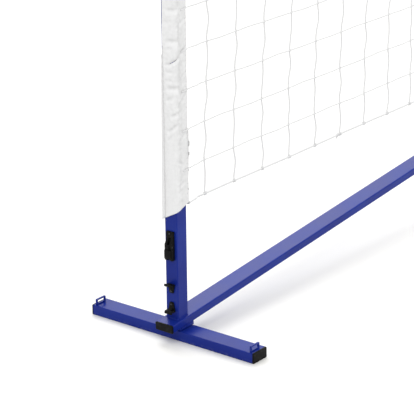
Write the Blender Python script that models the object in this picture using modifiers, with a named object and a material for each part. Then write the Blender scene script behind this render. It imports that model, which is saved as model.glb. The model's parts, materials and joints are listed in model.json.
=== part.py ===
"""End post of a portable tennis net, with its foot, crossbar half and net end.

Metres, +Z up. +X runs along the net, away from the post. The origin is on the
floor, on the axis of the swivel between the foot and the crossbar.
"""

import math

import bmesh
import bpy
from mathutils import Matrix

# Gap left between two pieces that touch
FIT_GAP = 0.0003

# Foot: a flat rectangular tube across the net line
FOOT_LENGTH = 0.475
FOOT_WIDTH = 0.050
FOOT_HEIGHT = 0.025
FOOT_WALL = 0.0015
FOOT_CORNER = 0.002
FOOT_SHIFT = 0.0067

# Push-in end caps of the foot and the crossbar
CAP_FLANGE = 0.004
CAP_PLUG = 0.014
CAP_CLEARANCE = 0.0004
CAP_EDGE = 0.0012

# Strap loops welded on the foot near its ends
LOOP_WIDTH = 0.032
LOOP_HEIGHT = 0.0145
LOOP_THICKNESS = 0.004
LOOP_BAND = 0.004
LOOP_RAIL = 0.0032
LOOP_INSET = 0.0115
LOOP_SHIFT = -0.006
LOOP_CORNER = 0.002

# Swivel between the foot and the crossbar
BOLT_DIAMETER = 0.008
BOLT_HEAD_ACROSS = 0.013
BOLT_HEAD_HEIGHT = 0.0053
BOLT_TAIL = 0.0015
BOLT_CLEARANCE = 0.0004
WASHER_DIAMETER = 0.020
WASHER_THICKNESS = 0.0016
PAD_DIAMETER = 0.044
PAD_THICKNESS = 0.0015
SADDLE_HEIGHT = 0.0062
SADDLE_MARGIN = 0.001
TAPER_DIAMETER = 0.020
TAPER_THICKNESS = 0.0024
NUT_ACROSS = 0.013
NUT_HEIGHT = 0.0065

# Crossbar half: a flat tube that rises away from the post
BAR_WIDTH = 0.050
BAR_HEIGHT = 0.020
BAR_WALL = 0.0015
BAR_CORNER = 0.003
BAR_STUB = 0.055
BAR_REACH = 1.130
BAR_RISE = math.radians(5.2)

# Coupling to the other crossbar half
SPIGOT_INSIDE = 0.060
SPIGOT_SHOWN = 0.060
SPIGOT_WALL = 0.0015
SPIGOT_CLEARANCE = 0.0004
RIVET_INSET = 0.025
RIVET_DIAMETER = 0.0048
RIVET_HEAD_DIAMETER = 0.0095
RIVET_HEAD_HEIGHT = 0.0015
RIVET_CROWN_DIAMETER = 0.0066
RIVET_CROWN_DROP = 0.0003
RIVET_TAIL_DIAMETER = 0.0068
RIVET_TAIL_HEIGHT = 0.0025
RIVET_TIP_DIAMETER = 0.0054
BUTTON_PLACE = 0.030
BUTTON_DIAMETER = 0.008
BUTTON_RISE = 0.0045
BUTTON_CROWN_DIAMETER = 0.0044
BUTTON_CROWN_DROP = 0.00035
BUTTON_SHOULDER_DIAMETER = 0.0070
BUTTON_SHOULDER_DROP = 0.0014
BUTTON_EDGE_DROP = 0.0031
BUTTON_FLANGE_DIAMETER = 0.011
BUTTON_FLANGE = 0.0015
BUTTON_CLEARANCE = 0.0004
CLIP_LEG = 0.030
CLIP_WIDTH = 0.009
CLIP_THICKNESS = 0.0008

# Post: a square tube standing on the crossbar
POST_SIZE = 0.035
POST_WALL = 0.0015
POST_CORNER = 0.002
POST_OFFSET = -0.006
POST_PROUD = 0.011

# Head of the post: a plug that carries the sheave for the net's top cord
HEAD_HEIGHT = 0.016
HEAD_PLUG = 0.022
HEAD_CLEARANCE = 0.0004
HEAD_BEVEL = 0.003
SLOT_CLEARANCE = 0.0005
SLOT_BACK = 0.011
SHEAVE_DIAMETER = 0.024
SHEAVE_WIDTH = 0.008
SHEAVE_LIP = 0.001
SHEAVE_GROOVE = 0.003
SHEAVE_GROOVE_WIDTH = 0.0024
SHEAVE_PLACE = 0.0045
SHEAVE_LIFT = 0.006
AXLE_DIAMETER = 0.004
AXLE_CLEARANCE = 0.0004
AXLE_INSET = 0.001

# Cam tensioner on the post's outer face
TENSIONER_BOTTOM = 0.196
TENSIONER_HEIGHT = 0.068
TENSIONER_WIDTH = 0.020
TENSIONER_BASE = 0.003
TENSIONER_TOP_DEPTH = 0.0055
TENSIONER_CHEEK_DEPTH = 0.0115
CHEEK_TOP = 0.039
CHANNEL_WIDTH = 0.0068
CHANNEL_TOP_LAND = 0.004
CORD_HOLE = 0.004
CORD_HOLE_HEIGHT = 0.0515
LEVER_PIVOT_HEIGHT = 0.033
CAM_RADIUS = 0.0052
CAM_ARC = math.radians(225)
CAM_CLEARANCE = 0.0008
LEVER_ARM = 0.0265
LEVER_THICKNESS = 0.0032
LEVER_GRIP_WIDTH = 0.017
LEVER_GRIP_LENGTH = 0.020
LEVER_CLEARANCE = 0.0004
PIVOT_DIAMETER = 0.003
PIVOT_CLEARANCE = 0.0004
TENSIONER_SCREW_INSET = 0.005
TENSIONER_CHAMFER = 0.0025
CHEEK_SLOPE = 0.009

# Cord hooks below the tensioner, a mirrored pair
UPPER_HOOK_TOP = 0.137
LOWER_HOOK_BOTTOM = 0.070
HOOK_HEIGHT = 0.022
HOOK_WIDTH = 0.020
HOOK_FOOT_WIDTH = 0.011
HOOK_PAD = 0.003
HOOK_REACH = 0.0165
HOOK_HORN = 0.0045
HOOK_LIP = 0.0026
HOOK_LIP_THICKNESS = 0.003
HOOK_RIB_WIDTH = 0.0075
HOOK_RIB_LENGTH = 0.0135
HOOK_SCREW_DROP = 0.0172
HOOK_PEG_DROP = 0.0045
HOOK_PEG_DIAMETER = 0.0035
HOOK_TUCK = 0.0005

# Self-tapping screws that hold the tensioner and the hooks
SCREW_DIAMETER = 0.0028
SCREW_HEAD_DIAMETER = 0.0046
SCREW_HEAD_HEIGHT = 0.0014
SCREW_CROWN_DIAMETER = 0.0028
SCREW_RIM = 0.0007
SCREW_LENGTH = 0.009
SCREW_TIP_DIAMETER = 0.0009
SCREW_CLEARANCE = 0.0003

# Net: rows are level, columns hang between them
NET_BOTTOM = 0.318
ROW_PITCH = 0.0914
FIRST_ROW = 0.0815
ROWS = 5
FIRST_COLUMN = 0.1077
COLUMN_PITCH = 0.1109
COLUMNS = 9
CORD_THICKNESS = 0.0028
KNOT_SWELL = 0.0006
BOTTOM_CORD_DIAMETER = 0.0048
HEADBAND_THICKNESS = 0.003
HEADBAND_DEPTH = 0.0575
HEADBAND_EDGE = 0.0012
SIDE_BAND_WIDTH = 0.020
SIDE_BAND_THICKNESS = 0.0032
SIDE_BAND_EDGE = 0.0013

# Wander of the net's columns: a lean, a short wave from row to row and a long one
COLUMN_LEAN = 0.0013
COLUMN_DRIFT = -0.0009
SHORT_WAVE = 0.0028
SHORT_WAVE_START = -2.06
LONG_WAVE = 0.0033
LONG_WAVE_START = -1.78
LONG_WAVE_RATE = 1.2
LONG_WAVE_STEP = -0.28
WAVE_STEPS = 5

# Cloth sleeve of the net, round the post
SLEEVE_CLEARANCE = 0.0025
SLEEVE_WALL = 0.0010
SLEEVE_CORNER = 0.0055
SLEEVE_OUTER_DROP = 0.024
SLEEVE_SIDE_LIFT = 0.018
SLEEVE_NET_LIFT = 0.005
SLEEVE_RINGS = 26
WRINKLE_DEPTH = 0.0012
WRINKLE_PITCH = 0.058
WRINKLE_SLANT = 25.0
WRINKLE_PATCH = 17.0
WRINKLE_SHIFT = 40.0
FLAP_REACH = 0.007
FLAP_THICKNESS = 0.0016
FLAP_SEAT = 0.0006
FLAP_INSET = 0.0055
FLAP_OVERLAP = 0.050
SLIT_HEIGHT = 0.264
SLIT_WIDTH = 0.0135
SLIT_OVERRUN = 0.25

# Smoothness of round pieces
ROUND_STEPS = 24
SMALL_STEPS = 12
BEND_STEPS = 8
CORNER_STEPS = 3

# Places that follow from the sizes above
RISE = math.tan(BAR_RISE)
SADDLE_UNDERSIDE = FOOT_HEIGHT + 2 * FIT_GAP + PAD_THICKNESS
BAR_UNDERSIDE = SADDLE_UNDERSIDE + SADDLE_HEIGHT + FIT_GAP
BAR_SURFACE = BAR_UNDERSIDE + BAR_HEIGHT / math.cos(BAR_RISE)
FACE = POST_OFFSET - POST_SIZE / 2 - FIT_GAP
SPIGOT_WIDTH = BAR_WIDTH - 2 * (BAR_WALL + SPIGOT_CLEARANCE)
SPIGOT_HEIGHT = BAR_HEIGHT - 2 * (BAR_WALL + SPIGOT_CLEARANCE)
NET_TOP = NET_BOTTOM + FIRST_ROW + ROWS * ROW_PITCH + HEADBAND_DEPTH
POST_TOP = NET_TOP + POST_PROUD
SLEEVE_SIZE = POST_SIZE + 2 * (SLEEVE_CLEARANCE + SLEEVE_WALL)
SLEEVE_EDGE = POST_OFFSET + SLEEVE_SIZE / 2
NET_START = SLEEVE_EDGE + WRINKLE_DEPTH + FIT_GAP
NET_END = FIRST_COLUMN + COLUMNS * COLUMN_PITCH
PIVOT_OUT = TENSIONER_BASE + CAM_CLEARANCE + CAM_RADIUS
PIVOT_HEIGHT = TENSIONER_BOTTOM + LEVER_PIVOT_HEIGHT

PARTS = "tennis_net_end_post"
CUTTERS = "cutters"


def clear_scene():
    for item in list(bpy.data.objects):
        bpy.data.objects.remove(item, do_unlink=True)
    for name in (PARTS, CUTTERS):
        collection = bpy.data.collections.new(name)
        bpy.context.scene.collection.children.link(collection)


def material(name, colour, roughness, metallic=0.0):
    """A plain Principled material, made once and then shared."""
    found = bpy.data.materials.get(name)
    if found:
        return found
    made = bpy.data.materials.new(name)
    made.use_nodes = True
    shader = made.node_tree.nodes["Principled BSDF"]
    shader.inputs["Base Color"].default_value = (*colour, 1.0)
    shader.inputs["Roughness"].default_value = roughness
    shader.inputs["Metallic"].default_value = metallic
    made.diffuse_color = (*colour, 1.0)
    return made


def blue_paint():
    return material("blue_paint", (0.020, 0.040, 0.300), 0.38)


def black_plastic():
    return material("black_plastic", (0.012, 0.012, 0.011), 0.50)


def zinc_steel():
    return material("zinc_steel", (0.550, 0.550, 0.560), 0.35, 1.0)


def dark_steel():
    return material("dark_steel", (0.035, 0.035, 0.037), 0.45, 1.0)


def white_cloth():
    return material("white_cloth", (0.820, 0.820, 0.830), 0.90)


def white_cord():
    return material("white_cord", (0.860, 0.860, 0.870), 0.80)


def add_object(name, data, look, parent=None, place=(0, 0, 0), turn=(0, 0, 0), cutter=False):
    made = bpy.data.objects.new(name, data)
    made.location = place
    made.rotation_euler = turn
    made.parent = parent
    bpy.data.collections[CUTTERS if cutter else PARTS].objects.link(made)
    if cutter:
        made.hide_render = True
        made.display_type = "WIRE"
    else:
        data.materials.append(look)
    return made


def add_empty(name, place=(0, 0, 0), turn=(0, 0, 0), parent=None):
    made = bpy.data.objects.new(name, None)
    made.location = place
    made.rotation_euler = turn
    made.parent = parent
    bpy.data.collections[PARTS].objects.link(made)
    return made


def mesh_from(build, name):
    """A mesh made by a function that fills an empty bmesh."""
    shape = bmesh.new()
    build(shape)
    bmesh.ops.recalc_face_normals(shape, faces=shape.faces[:])
    mesh = bpy.data.meshes.new(name)
    shape.to_mesh(mesh)
    shape.free()
    return mesh


def box_mesh(name, low, high):
    """A box between two corners."""
    size = [b - a for a, b in zip(low, high)]
    middle = [(a + b) / 2 for a, b in zip(low, high)]
    matrix = Matrix.Translation(middle) @ Matrix.Diagonal((*size, 1.0))
    return mesh_from(lambda shape: bmesh.ops.create_cube(shape, size=1.0, matrix=matrix), name)


def rod_mesh(name, diameter, start, end, steps=ROUND_STEPS):
    """A round or hexagonal rod along Z between two heights."""
    matrix = Matrix.Translation((0, 0, (start + end) / 2))

    def build(shape):
        bmesh.ops.create_cone(
            shape, cap_ends=True, segments=steps, radius1=diameter / 2,
            radius2=diameter / 2, depth=end - start, matrix=matrix)

    return mesh_from(build, name)


def rounded_rectangle(width, height, radius, steps=CORNER_STEPS):
    """Corner points of a rounded rectangle, counter-clockwise."""
    points = []
    for corner in range(4):
        sign_x = 1 if corner in (0, 3) else -1
        sign_y = 1 if corner in (0, 1) else -1
        for step in range(steps + 1):
            angle = math.pi / 2 * (corner + step / steps)
            across = sign_x * (width / 2 - radius) + radius * math.cos(angle)
            up = sign_y * (height / 2 - radius) + radius * math.sin(angle)
            points.append((across, up))
    return points


def loft(shape, rings, closed=True):
    """Skin a list of rings of equal length, with flat ends where closed."""
    loops = [[shape.verts.new(point) for point in ring] for ring in rings]
    count = len(loops[0])
    for lower, upper in zip(loops, loops[1:]):
        for i in range(count):
            j = (i + 1) % count
            shape.faces.new((lower[i], lower[j], upper[j], upper[i]))
    if closed:
        shape.faces.new(loops[0][::-1])
        shape.faces.new(loops[-1])


def add_modifier(target, kind, **settings):
    made = target.modifiers.new(kind.title(), kind)
    for key, value in settings.items():
        setattr(made, key, value)
    return made


def solidify(target, thickness):
    """Give an open surface its wall, inward from the surface."""
    add_modifier(target, "SOLIDIFY", thickness=thickness, offset=-1, use_even_offset=True)


def cut(target, name, mesh, parent=None, place=(0, 0, 0), turn=(0, 0, 0)):
    tool = add_object(name, mesh, None, parent, place, turn, cutter=True)
    add_modifier(target, "BOOLEAN", operation="DIFFERENCE", solver="EXACT", object=tool)


def join(target, name, mesh, parent=None, place=(0, 0, 0), turn=(0, 0, 0)):
    tool = add_object(name, mesh, None, parent, place, turn, cutter=True)
    add_modifier(target, "BOOLEAN", operation="UNION", solver="EXACT", object=tool)


def soften(target, width, segments=2):
    add_modifier(target, "BEVEL", width=width, segments=segments, limit_method="ANGLE")


def turned(name, profile, look, parent=None, place=(0, 0, 0), turn=(0, 0, 0)):
    """A turned piece about local Z: the profile runs down its outer side."""
    mesh = bpy.data.meshes.new(name)
    points = [(radius, 0, height) for radius, height in profile]
    edges = [(i, i + 1) for i in range(len(points) - 1)]
    if profile[0][0] > 0:
        edges.append((len(points) - 1, 0))
    mesh.from_pydata(points, edges, [])
    made = add_object(name, mesh, look, parent, place, turn)
    add_modifier(
        made, "SCREW", axis="Z", steps=ROUND_STEPS, render_steps=ROUND_STEPS,
        use_merge_vertices=True, merge_threshold=0.00001)
    return made


def plate_mesh(name, outlines, thickness):
    """A flat plate in local XY from closed outlines, the later ones being holes."""
    curve = bpy.data.curves.new(name, "CURVE")
    curve.dimensions = "2D"
    curve.fill_mode = "BOTH"
    curve.extrude = thickness / 2
    for outline in outlines:
        spline = curve.splines.new("POLY")
        spline.points.add(len(outline) - 1)
        for point, (x, y) in zip(spline.points, outline):
            point.co = (x, y, 0, 1)
        spline.use_cyclic_u = True
    guide = bpy.data.objects.new(name, curve)
    bpy.context.scene.collection.objects.link(guide)
    evaluated = guide.evaluated_get(bpy.context.evaluated_depsgraph_get())
    mesh = bpy.data.meshes.new_from_object(evaluated)
    bpy.data.objects.remove(guide, do_unlink=True)
    shape = bmesh.new()
    shape.from_mesh(mesh)
    bmesh.ops.remove_doubles(shape, verts=shape.verts[:], dist=0.00001)
    bmesh.ops.recalc_face_normals(shape, faces=shape.faces[:])
    shape.to_mesh(mesh)
    shape.free()
    return mesh


def tube_mesh(name, width, height, radius, start, end, slope=0.0):
    """Open surface of a tube along Z. Its lower end may be cut on a slope along X."""
    outline = rounded_rectangle(width, height, radius)

    def build(shape):
        low = [(x, y, start + slope * x) for x, y in outline]
        high = [(x, y, end) for x, y in outline]
        loft(shape, [low, high], closed=False)

    return mesh_from(build, name)


def cap_mesh(name, width, height, radius, wall):
    """An end cap along Z: its flange covers the tube's end, its plug goes down inside."""
    plug_width = width - 2 * (wall + CAP_CLEARANCE)
    plug_height = height - 2 * (wall + CAP_CLEARANCE)
    plug_radius = max(radius - wall, 0.0005)
    face = rounded_rectangle(width - 2 * CAP_EDGE, height - 2 * CAP_EDGE, radius - CAP_EDGE / 2)
    flange = rounded_rectangle(width, height, radius)
    plug = rounded_rectangle(plug_width, plug_height, plug_radius)
    tip = rounded_rectangle(plug_width - CAP_EDGE, plug_height - CAP_EDGE, plug_radius)
    levels = [
        (tip, -CAP_PLUG), (plug, -CAP_PLUG + CAP_EDGE), (plug, 0.0), (flange, 0.0),
        (flange, CAP_FLANGE - CAP_EDGE), (face, CAP_FLANGE)]
    rings = [[(x, y, z) for x, y in outline] for outline, z in levels]
    return mesh_from(lambda shape: loft(shape, rings), name)


def foot(pivot):
    """Foot tube, its two caps and two strap loops, all on the swivel's axis."""
    half = FOOT_LENGTH / 2 - CAP_FLANGE - FIT_GAP
    along_y = (math.pi / 2, 0, 0)
    tube = add_object(
        "foot_tube", tube_mesh("foot_tube", FOOT_WIDTH, FOOT_HEIGHT, FOOT_CORNER, -half, half),
        blue_paint(), pivot, (0, FOOT_SHIFT, FOOT_HEIGHT / 2), along_y)
    solidify(tube, FOOT_WALL)
    hole = BOLT_DIAMETER + 2 * BOLT_CLEARANCE
    cut(tube, "foot_bolt_hole", rod_mesh("foot_bolt_hole", hole, FOOT_HEIGHT / 2, 2 * FOOT_HEIGHT), pivot)
    for side, word in ((-1, "near"), (1, "far")):
        turn = (-side * math.pi / 2, 0, 0)
        add_object(
            "foot_end_cap_" + word,
            cap_mesh("foot_end_cap", FOOT_WIDTH, FOOT_HEIGHT, FOOT_CORNER, FOOT_WALL),
            black_plastic(), pivot, (0, FOOT_SHIFT + side * (half + FIT_GAP), FOOT_HEIGHT / 2), turn)
        strap_loop("strap_loop_" + word, pivot, side)


def strap_loop(name, pivot, side):
    """A flat rectangular ring standing across the foot."""
    outer = rounded_rectangle(LOOP_WIDTH, LOOP_HEIGHT, LOOP_CORNER)
    window = rounded_rectangle(LOOP_WIDTH - 2 * LOOP_BAND, LOOP_HEIGHT - 2 * LOOP_RAIL, LOOP_CORNER / 2)
    along = FOOT_SHIFT + side * (FOOT_LENGTH / 2 - LOOP_INSET)
    place = (LOOP_SHIFT, along, FOOT_HEIGHT + FIT_GAP + LOOP_HEIGHT / 2)
    plate = plate_mesh(name, [outer, window], LOOP_THICKNESS)
    add_object(name, plate, blue_paint(), pivot, place, (math.pi / 2, 0, 0))


def swivel():
    """Bolt up through the foot's top wall, bearing pad, tapered saddle, tapered washer and nut."""
    inside_top = FOOT_HEIGHT - FOOT_WALL
    washer_bottom = inside_top - FIT_GAP - WASHER_THICKNESS
    head_top = washer_bottom - FIT_GAP
    taper_bottom = BAR_UNDERSIDE + BAR_WALL / math.cos(BAR_RISE) + FIT_GAP
    nut_bottom = taper_bottom + TAPER_THICKNESS + FIT_GAP
    nut_top = nut_bottom + NUT_HEIGHT
    bore = BOLT_DIAMETER + 2 * BOLT_CLEARANCE
    shank = rod_mesh("swivel_bolt", BOLT_DIAMETER, head_top - BOLT_HEAD_HEIGHT / 2, nut_top + BOLT_TAIL)
    bolt = add_object("swivel_bolt", shank, zinc_steel())
    join(bolt, "bolt_head", hexagon("bolt_head", BOLT_HEAD_ACROSS, head_top - BOLT_HEAD_HEIGHT, head_top))
    washer_top = washer_bottom + WASHER_THICKNESS
    ring("swivel_washer", WASHER_DIAMETER, bore, washer_bottom, washer_top, zinc_steel())
    pad_bottom = FOOT_HEIGHT + FIT_GAP
    ring("swivel_pad", PAD_DIAMETER, bore, pad_bottom, pad_bottom + PAD_THICKNESS, black_plastic())
    saddle()
    taper = rod_mesh("taper_washer", TAPER_DIAMETER, taper_bottom, taper_bottom + TAPER_THICKNESS)
    for vertex in taper.vertices:
        if vertex.co.z < taper_bottom + TAPER_THICKNESS / 2:
            vertex.co.z += RISE * vertex.co.x
    washer = add_object("taper_washer", taper, zinc_steel())
    cut(washer, "taper_bore", rod_mesh("taper_bore", bore, taper_bottom - NUT_HEIGHT, nut_top))
    nut = add_object("swivel_nut", hexagon("swivel_nut", NUT_ACROSS, nut_bottom, nut_top), zinc_steel())
    cut(nut, "nut_bore", rod_mesh("nut_bore", bore, nut_bottom - NUT_HEIGHT, nut_top + NUT_HEIGHT))


def hexagon(name, across_flats, bottom, top):
    return rod_mesh(name, across_flats / math.cos(math.pi / 6), bottom, top, steps=6)


def ring(name, outer, bore, bottom, top, look, parent=None):
    turned(
        name, [(bore / 2, top), (outer / 2, top), (outer / 2, bottom), (bore / 2, bottom)], look, parent)


def saddle():
    """Tapered block under the crossbar: level below, sloped above."""
    half_x = FOOT_WIDTH / 2 - SADDLE_MARGIN
    half_y = BAR_WIDTH / 2 - SADDLE_MARGIN
    mesh = box_mesh(
        "crossbar_saddle", (-half_x, -half_y, SADDLE_UNDERSIDE),
        (half_x, half_y, SADDLE_UNDERSIDE + SADDLE_HEIGHT))
    for vertex in mesh.vertices:
        if vertex.co.z > SADDLE_UNDERSIDE + SADDLE_HEIGHT / 2:
            vertex.co.z += RISE * vertex.co.x
    block = add_object("crossbar_saddle", mesh, blue_paint())
    hole = BOLT_DIAMETER + 2 * BOLT_CLEARANCE
    cut(block, "saddle_bolt_hole", rod_mesh("saddle_bolt_hole", hole, 0.0, 2 * BAR_UNDERSIDE))


def crossbar(bar):
    """Crossbar tube and the cap on its stub, in the sloped frame of the bar."""
    middle = (0, 0, BAR_HEIGHT / 2)
    along_x = (0, math.pi / 2, 0)
    start = -BAR_STUB + CAP_FLANGE + FIT_GAP
    tube = add_object(
        "crossbar_tube", tube_mesh("crossbar_tube", BAR_HEIGHT, BAR_WIDTH, BAR_CORNER, start, BAR_REACH),
        blue_paint(), bar, middle, along_x)
    solidify(tube, BAR_WALL)
    hole = BOLT_DIAMETER + 2 * BOLT_CLEARANCE
    cut(tube, "crossbar_bolt_hole", rod_mesh(
        "crossbar_bolt_hole", hole, BAR_UNDERSIDE - BAR_HEIGHT / 2, BAR_UNDERSIDE + BAR_HEIGHT / 2))
    cut(tube, "crossbar_rivet_hole", rivet_hole("crossbar_rivet_hole"), bar, rivet_place())
    add_object(
        "crossbar_end_cap", cap_mesh("crossbar_end_cap", BAR_HEIGHT, BAR_WIDTH, BAR_CORNER, BAR_WALL),
        black_plastic(), bar, (start - FIT_GAP, 0, BAR_HEIGHT / 2), (0, -math.pi / 2, 0))


def rivet_place():
    return (BAR_REACH - RIVET_INSET, 0, BAR_HEIGHT / 2)


def rivet_hole(name):
    """A rod across the whole bar, along Y."""
    size = RIVET_DIAMETER + 2 * FIT_GAP
    mesh = rod_mesh(name, size, -BAR_WIDTH, BAR_WIDTH)
    mesh.transform(Matrix.Rotation(math.pi / 2, 4, "X"))
    return mesh


def coupling(bar):
    """Spigot inside the bar's far end, its rivets, snap button and spring clip."""
    middle = (0, 0, BAR_HEIGHT / 2)
    end = BAR_REACH + SPIGOT_SHOWN
    radius = BAR_CORNER - BAR_WALL
    tube = add_object(
        "coupling_spigot",
        tube_mesh("coupling_spigot", SPIGOT_HEIGHT, SPIGOT_WIDTH, radius, BAR_REACH - SPIGOT_INSIDE, end),
        blue_paint(), bar, middle, (0, math.pi / 2, 0))
    solidify(tube, SPIGOT_WALL)
    cut(tube, "spigot_rivet_hole", rivet_hole("spigot_rivet_hole"), bar, rivet_place())
    button_x = BAR_REACH + BUTTON_PLACE
    hole = rod_mesh("button_hole", BUTTON_DIAMETER + 2 * BUTTON_CLEARANCE, BAR_HEIGHT / 2, 2 * BAR_HEIGHT)
    cut(tube, "button_hole", hole, bar, (button_x, 0, 0))
    rivets(bar)
    snap_button(bar, button_x)


def rivets(bar):
    """One blind rivet in each side wall of the crossbar."""
    inner = SPIGOT_WIDTH / 2 - SPIGOT_WALL - FIT_GAP
    outer = BAR_WIDTH / 2 + FIT_GAP
    crown = outer + RIVET_HEAD_HEIGHT
    tip = inner - RIVET_TAIL_HEIGHT
    shank = RIVET_DIAMETER / 2
    profile = [
        (0, crown), (RIVET_CROWN_DIAMETER / 2, crown - RIVET_CROWN_DROP), (RIVET_HEAD_DIAMETER / 2, outer),
        (shank, outer), (shank, inner), (RIVET_TAIL_DIAMETER / 2, inner), (RIVET_TIP_DIAMETER / 2, tip),
        (0, tip)]
    for side, word in ((1, "near"), (-1, "far")):
        turn = (side * math.pi / 2, 0, 0)
        turned("spigot_rivet_" + word, profile, zinc_steel(), bar, rivet_place(), turn)


def snap_button(bar, place):
    """Button through the spigot's upper wall, on the leg of a bent spring clip."""
    outside = (BAR_HEIGHT + SPIGOT_HEIGHT) / 2
    inside = outside - SPIGOT_WALL - FIT_GAP
    flange_bottom = inside - BUTTON_FLANGE
    half = BUTTON_DIAMETER / 2
    crown = outside + BUTTON_RISE
    flange = BUTTON_FLANGE_DIAMETER / 2
    origin = (place, 0, flange_bottom)
    profile = [
        (0, crown), (BUTTON_CROWN_DIAMETER / 2, crown - BUTTON_CROWN_DROP),
        (BUTTON_SHOULDER_DIAMETER / 2, crown - BUTTON_SHOULDER_DROP), (half, crown - BUTTON_EDGE_DROP),
        (half, inside), (flange, inside), (flange, flange_bottom), (0, flange_bottom)]
    local = [(radius, height - flange_bottom) for radius, height in profile]
    turned("snap_button", local, zinc_steel(), bar, origin)
    floor = (BAR_HEIGHT - SPIGOT_HEIGHT) / 2 + SPIGOT_WALL + FIT_GAP
    top = flange_bottom - FIT_GAP
    add_object("button_clip", clip_mesh(top - floor), zinc_steel(), bar, (place, 0, floor))


def clip_mesh(height):
    """A flat strip bent into a U that lies on its side."""
    radius = height / 2
    front = -BUTTON_FLANGE_DIAMETER / 2
    bend = front + CLIP_LEG
    path = [(front, height), (bend, height)]
    angles = [math.pi * (step / BEND_STEPS - 1 / 2) for step in range(1, BEND_STEPS)]
    for angle in reversed(angles):
        path.append((bend + radius * math.cos(angle), radius + radius * math.sin(angle)))
    path += [(bend, 0.0), (front, 0.0)]
    inner_radius = radius - CLIP_THICKNESS
    inner = [(front, CLIP_THICKNESS), (bend, CLIP_THICKNESS)]
    for angle in angles:
        inner.append((bend + inner_radius * math.cos(angle), radius + inner_radius * math.sin(angle)))
    inner += [(bend, height - CLIP_THICKNESS), (front, height - CLIP_THICKNESS)]
    mesh = plate_mesh("button_clip", [path + inner], CLIP_WIDTH)
    mesh.transform(Matrix.Rotation(math.pi / 2, 4, "X"))
    return mesh


def post():
    """Square tube standing on the crossbar, with holes for what is screwed to it."""
    foot_height = BAR_SURFACE + RISE * POST_OFFSET + FIT_GAP
    tube = add_object(
        "post_tube",
        tube_mesh("post_tube", POST_SIZE, POST_SIZE, POST_CORNER, foot_height, POST_TOP, RISE),
        blue_paint(), None, (POST_OFFSET, 0, 0))
    solidify(tube, POST_WALL)
    across = (0, math.pi / 2, 0)
    reach = (-POST_SIZE / 4, POST_SIZE / 4)
    cord_hole = rod_mesh("post_cord_hole", CORD_HOLE, *reach)
    cut(tube, "post_cord_hole", cord_hole, None, cord_hole_place(), across)
    screw_hole = SCREW_DIAMETER + 2 * SCREW_CLEARANCE
    peg_hole = HOOK_PEG_DIAMETER + 2 * FIT_GAP
    holes = [(place, screw_hole) for place in tensioner_screw_places() + hook_screw_places()]
    holes += [(place, peg_hole) for place in hook_peg_places()]
    for index, (place, size) in enumerate(holes):
        name = "post_hole_%d" % index
        cut(tube, name, rod_mesh(name, size, *reach, SMALL_STEPS), None, place, across)


def cord_hole_place():
    return (FACE, 0, TENSIONER_BOTTOM + CORD_HOLE_HEIGHT)


def tensioner_screw_places():
    low = TENSIONER_BOTTOM + TENSIONER_SCREW_INSET
    high = TENSIONER_BOTTOM + TENSIONER_HEIGHT - TENSIONER_SCREW_INSET
    return [(FACE, 0, low), (FACE, 0, high)]


def hook_screw_places():
    return [(FACE, 0, UPPER_HOOK_TOP - HOOK_SCREW_DROP), (FACE, 0, LOWER_HOOK_BOTTOM + HOOK_SCREW_DROP)]


def hook_peg_places():
    return [(FACE, 0, UPPER_HOOK_TOP - HOOK_PEG_DROP), (FACE, 0, LOWER_HOOK_BOTTOM + HOOK_PEG_DROP)]


def post_head():
    """Slotted plug in the top of the post, its sheave and the sheave's axle."""
    inner = POST_SIZE - 2 * (POST_WALL + HEAD_CLEARANCE)
    inner_radius = POST_CORNER - POST_WALL
    top_size = POST_SIZE - 2 * HEAD_BEVEL
    levels = [
        (inner, inner_radius, -HEAD_PLUG), (inner, inner_radius, FIT_GAP),
        (POST_SIZE, POST_CORNER, FIT_GAP), (POST_SIZE, POST_CORNER, HEAD_HEIGHT - HEAD_BEVEL),
        (top_size, POST_CORNER, HEAD_HEIGHT)]
    rings = [
        [(x, y, z) for x, y in rounded_rectangle(size, size, radius)] for size, radius, z in levels]
    origin = (POST_OFFSET, 0, POST_TOP)
    block = mesh_from(lambda shape: loft(shape, rings), "post_top_cap")
    head = add_object("post_top_cap", block, black_plastic(), None, origin)
    half = SHEAVE_WIDTH / 2 + SLOT_CLEARANCE
    slot = box_mesh("sheave_slot", (-SLOT_BACK, -half, -2 * HEAD_PLUG), (POST_SIZE, half, 2 * HEAD_HEIGHT))
    cut(head, "sheave_slot", slot, None, origin)
    axle_place = (POST_OFFSET + SHEAVE_PLACE, 0, POST_TOP + SHEAVE_LIFT)
    along_y = (math.pi / 2, 0, 0)
    hole = rod_mesh("axle_hole", AXLE_DIAMETER + 2 * FIT_GAP, -POST_SIZE, POST_SIZE)
    cut(head, "axle_hole", hole, None, axle_place, along_y)
    half = POST_SIZE / 2 - AXLE_INSET
    axle = rod_mesh("sheave_axle", AXLE_DIAMETER, -half, half)
    add_object("sheave_axle", axle, zinc_steel(), None, axle_place, along_y)
    sheave(axle_place, along_y)


def sheave(place, turn):
    """Grooved wheel that the net's top cord runs over."""
    rim = SHEAVE_DIAMETER / 2
    edge = SHEAVE_WIDTH / 2
    lip = edge - SHEAVE_LIP
    floor = rim - SHEAVE_GROOVE
    bottom = SHEAVE_GROOVE_WIDTH / 2
    bore = AXLE_DIAMETER / 2 + AXLE_CLEARANCE
    profile = [
        (bore, edge), (rim, edge), (rim, lip), (floor, bottom), (floor, -bottom), (rim, -lip),
        (rim, -edge), (bore, -edge)]
    turned("head_sheave", profile, black_plastic(), None, place, turn)


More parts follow.
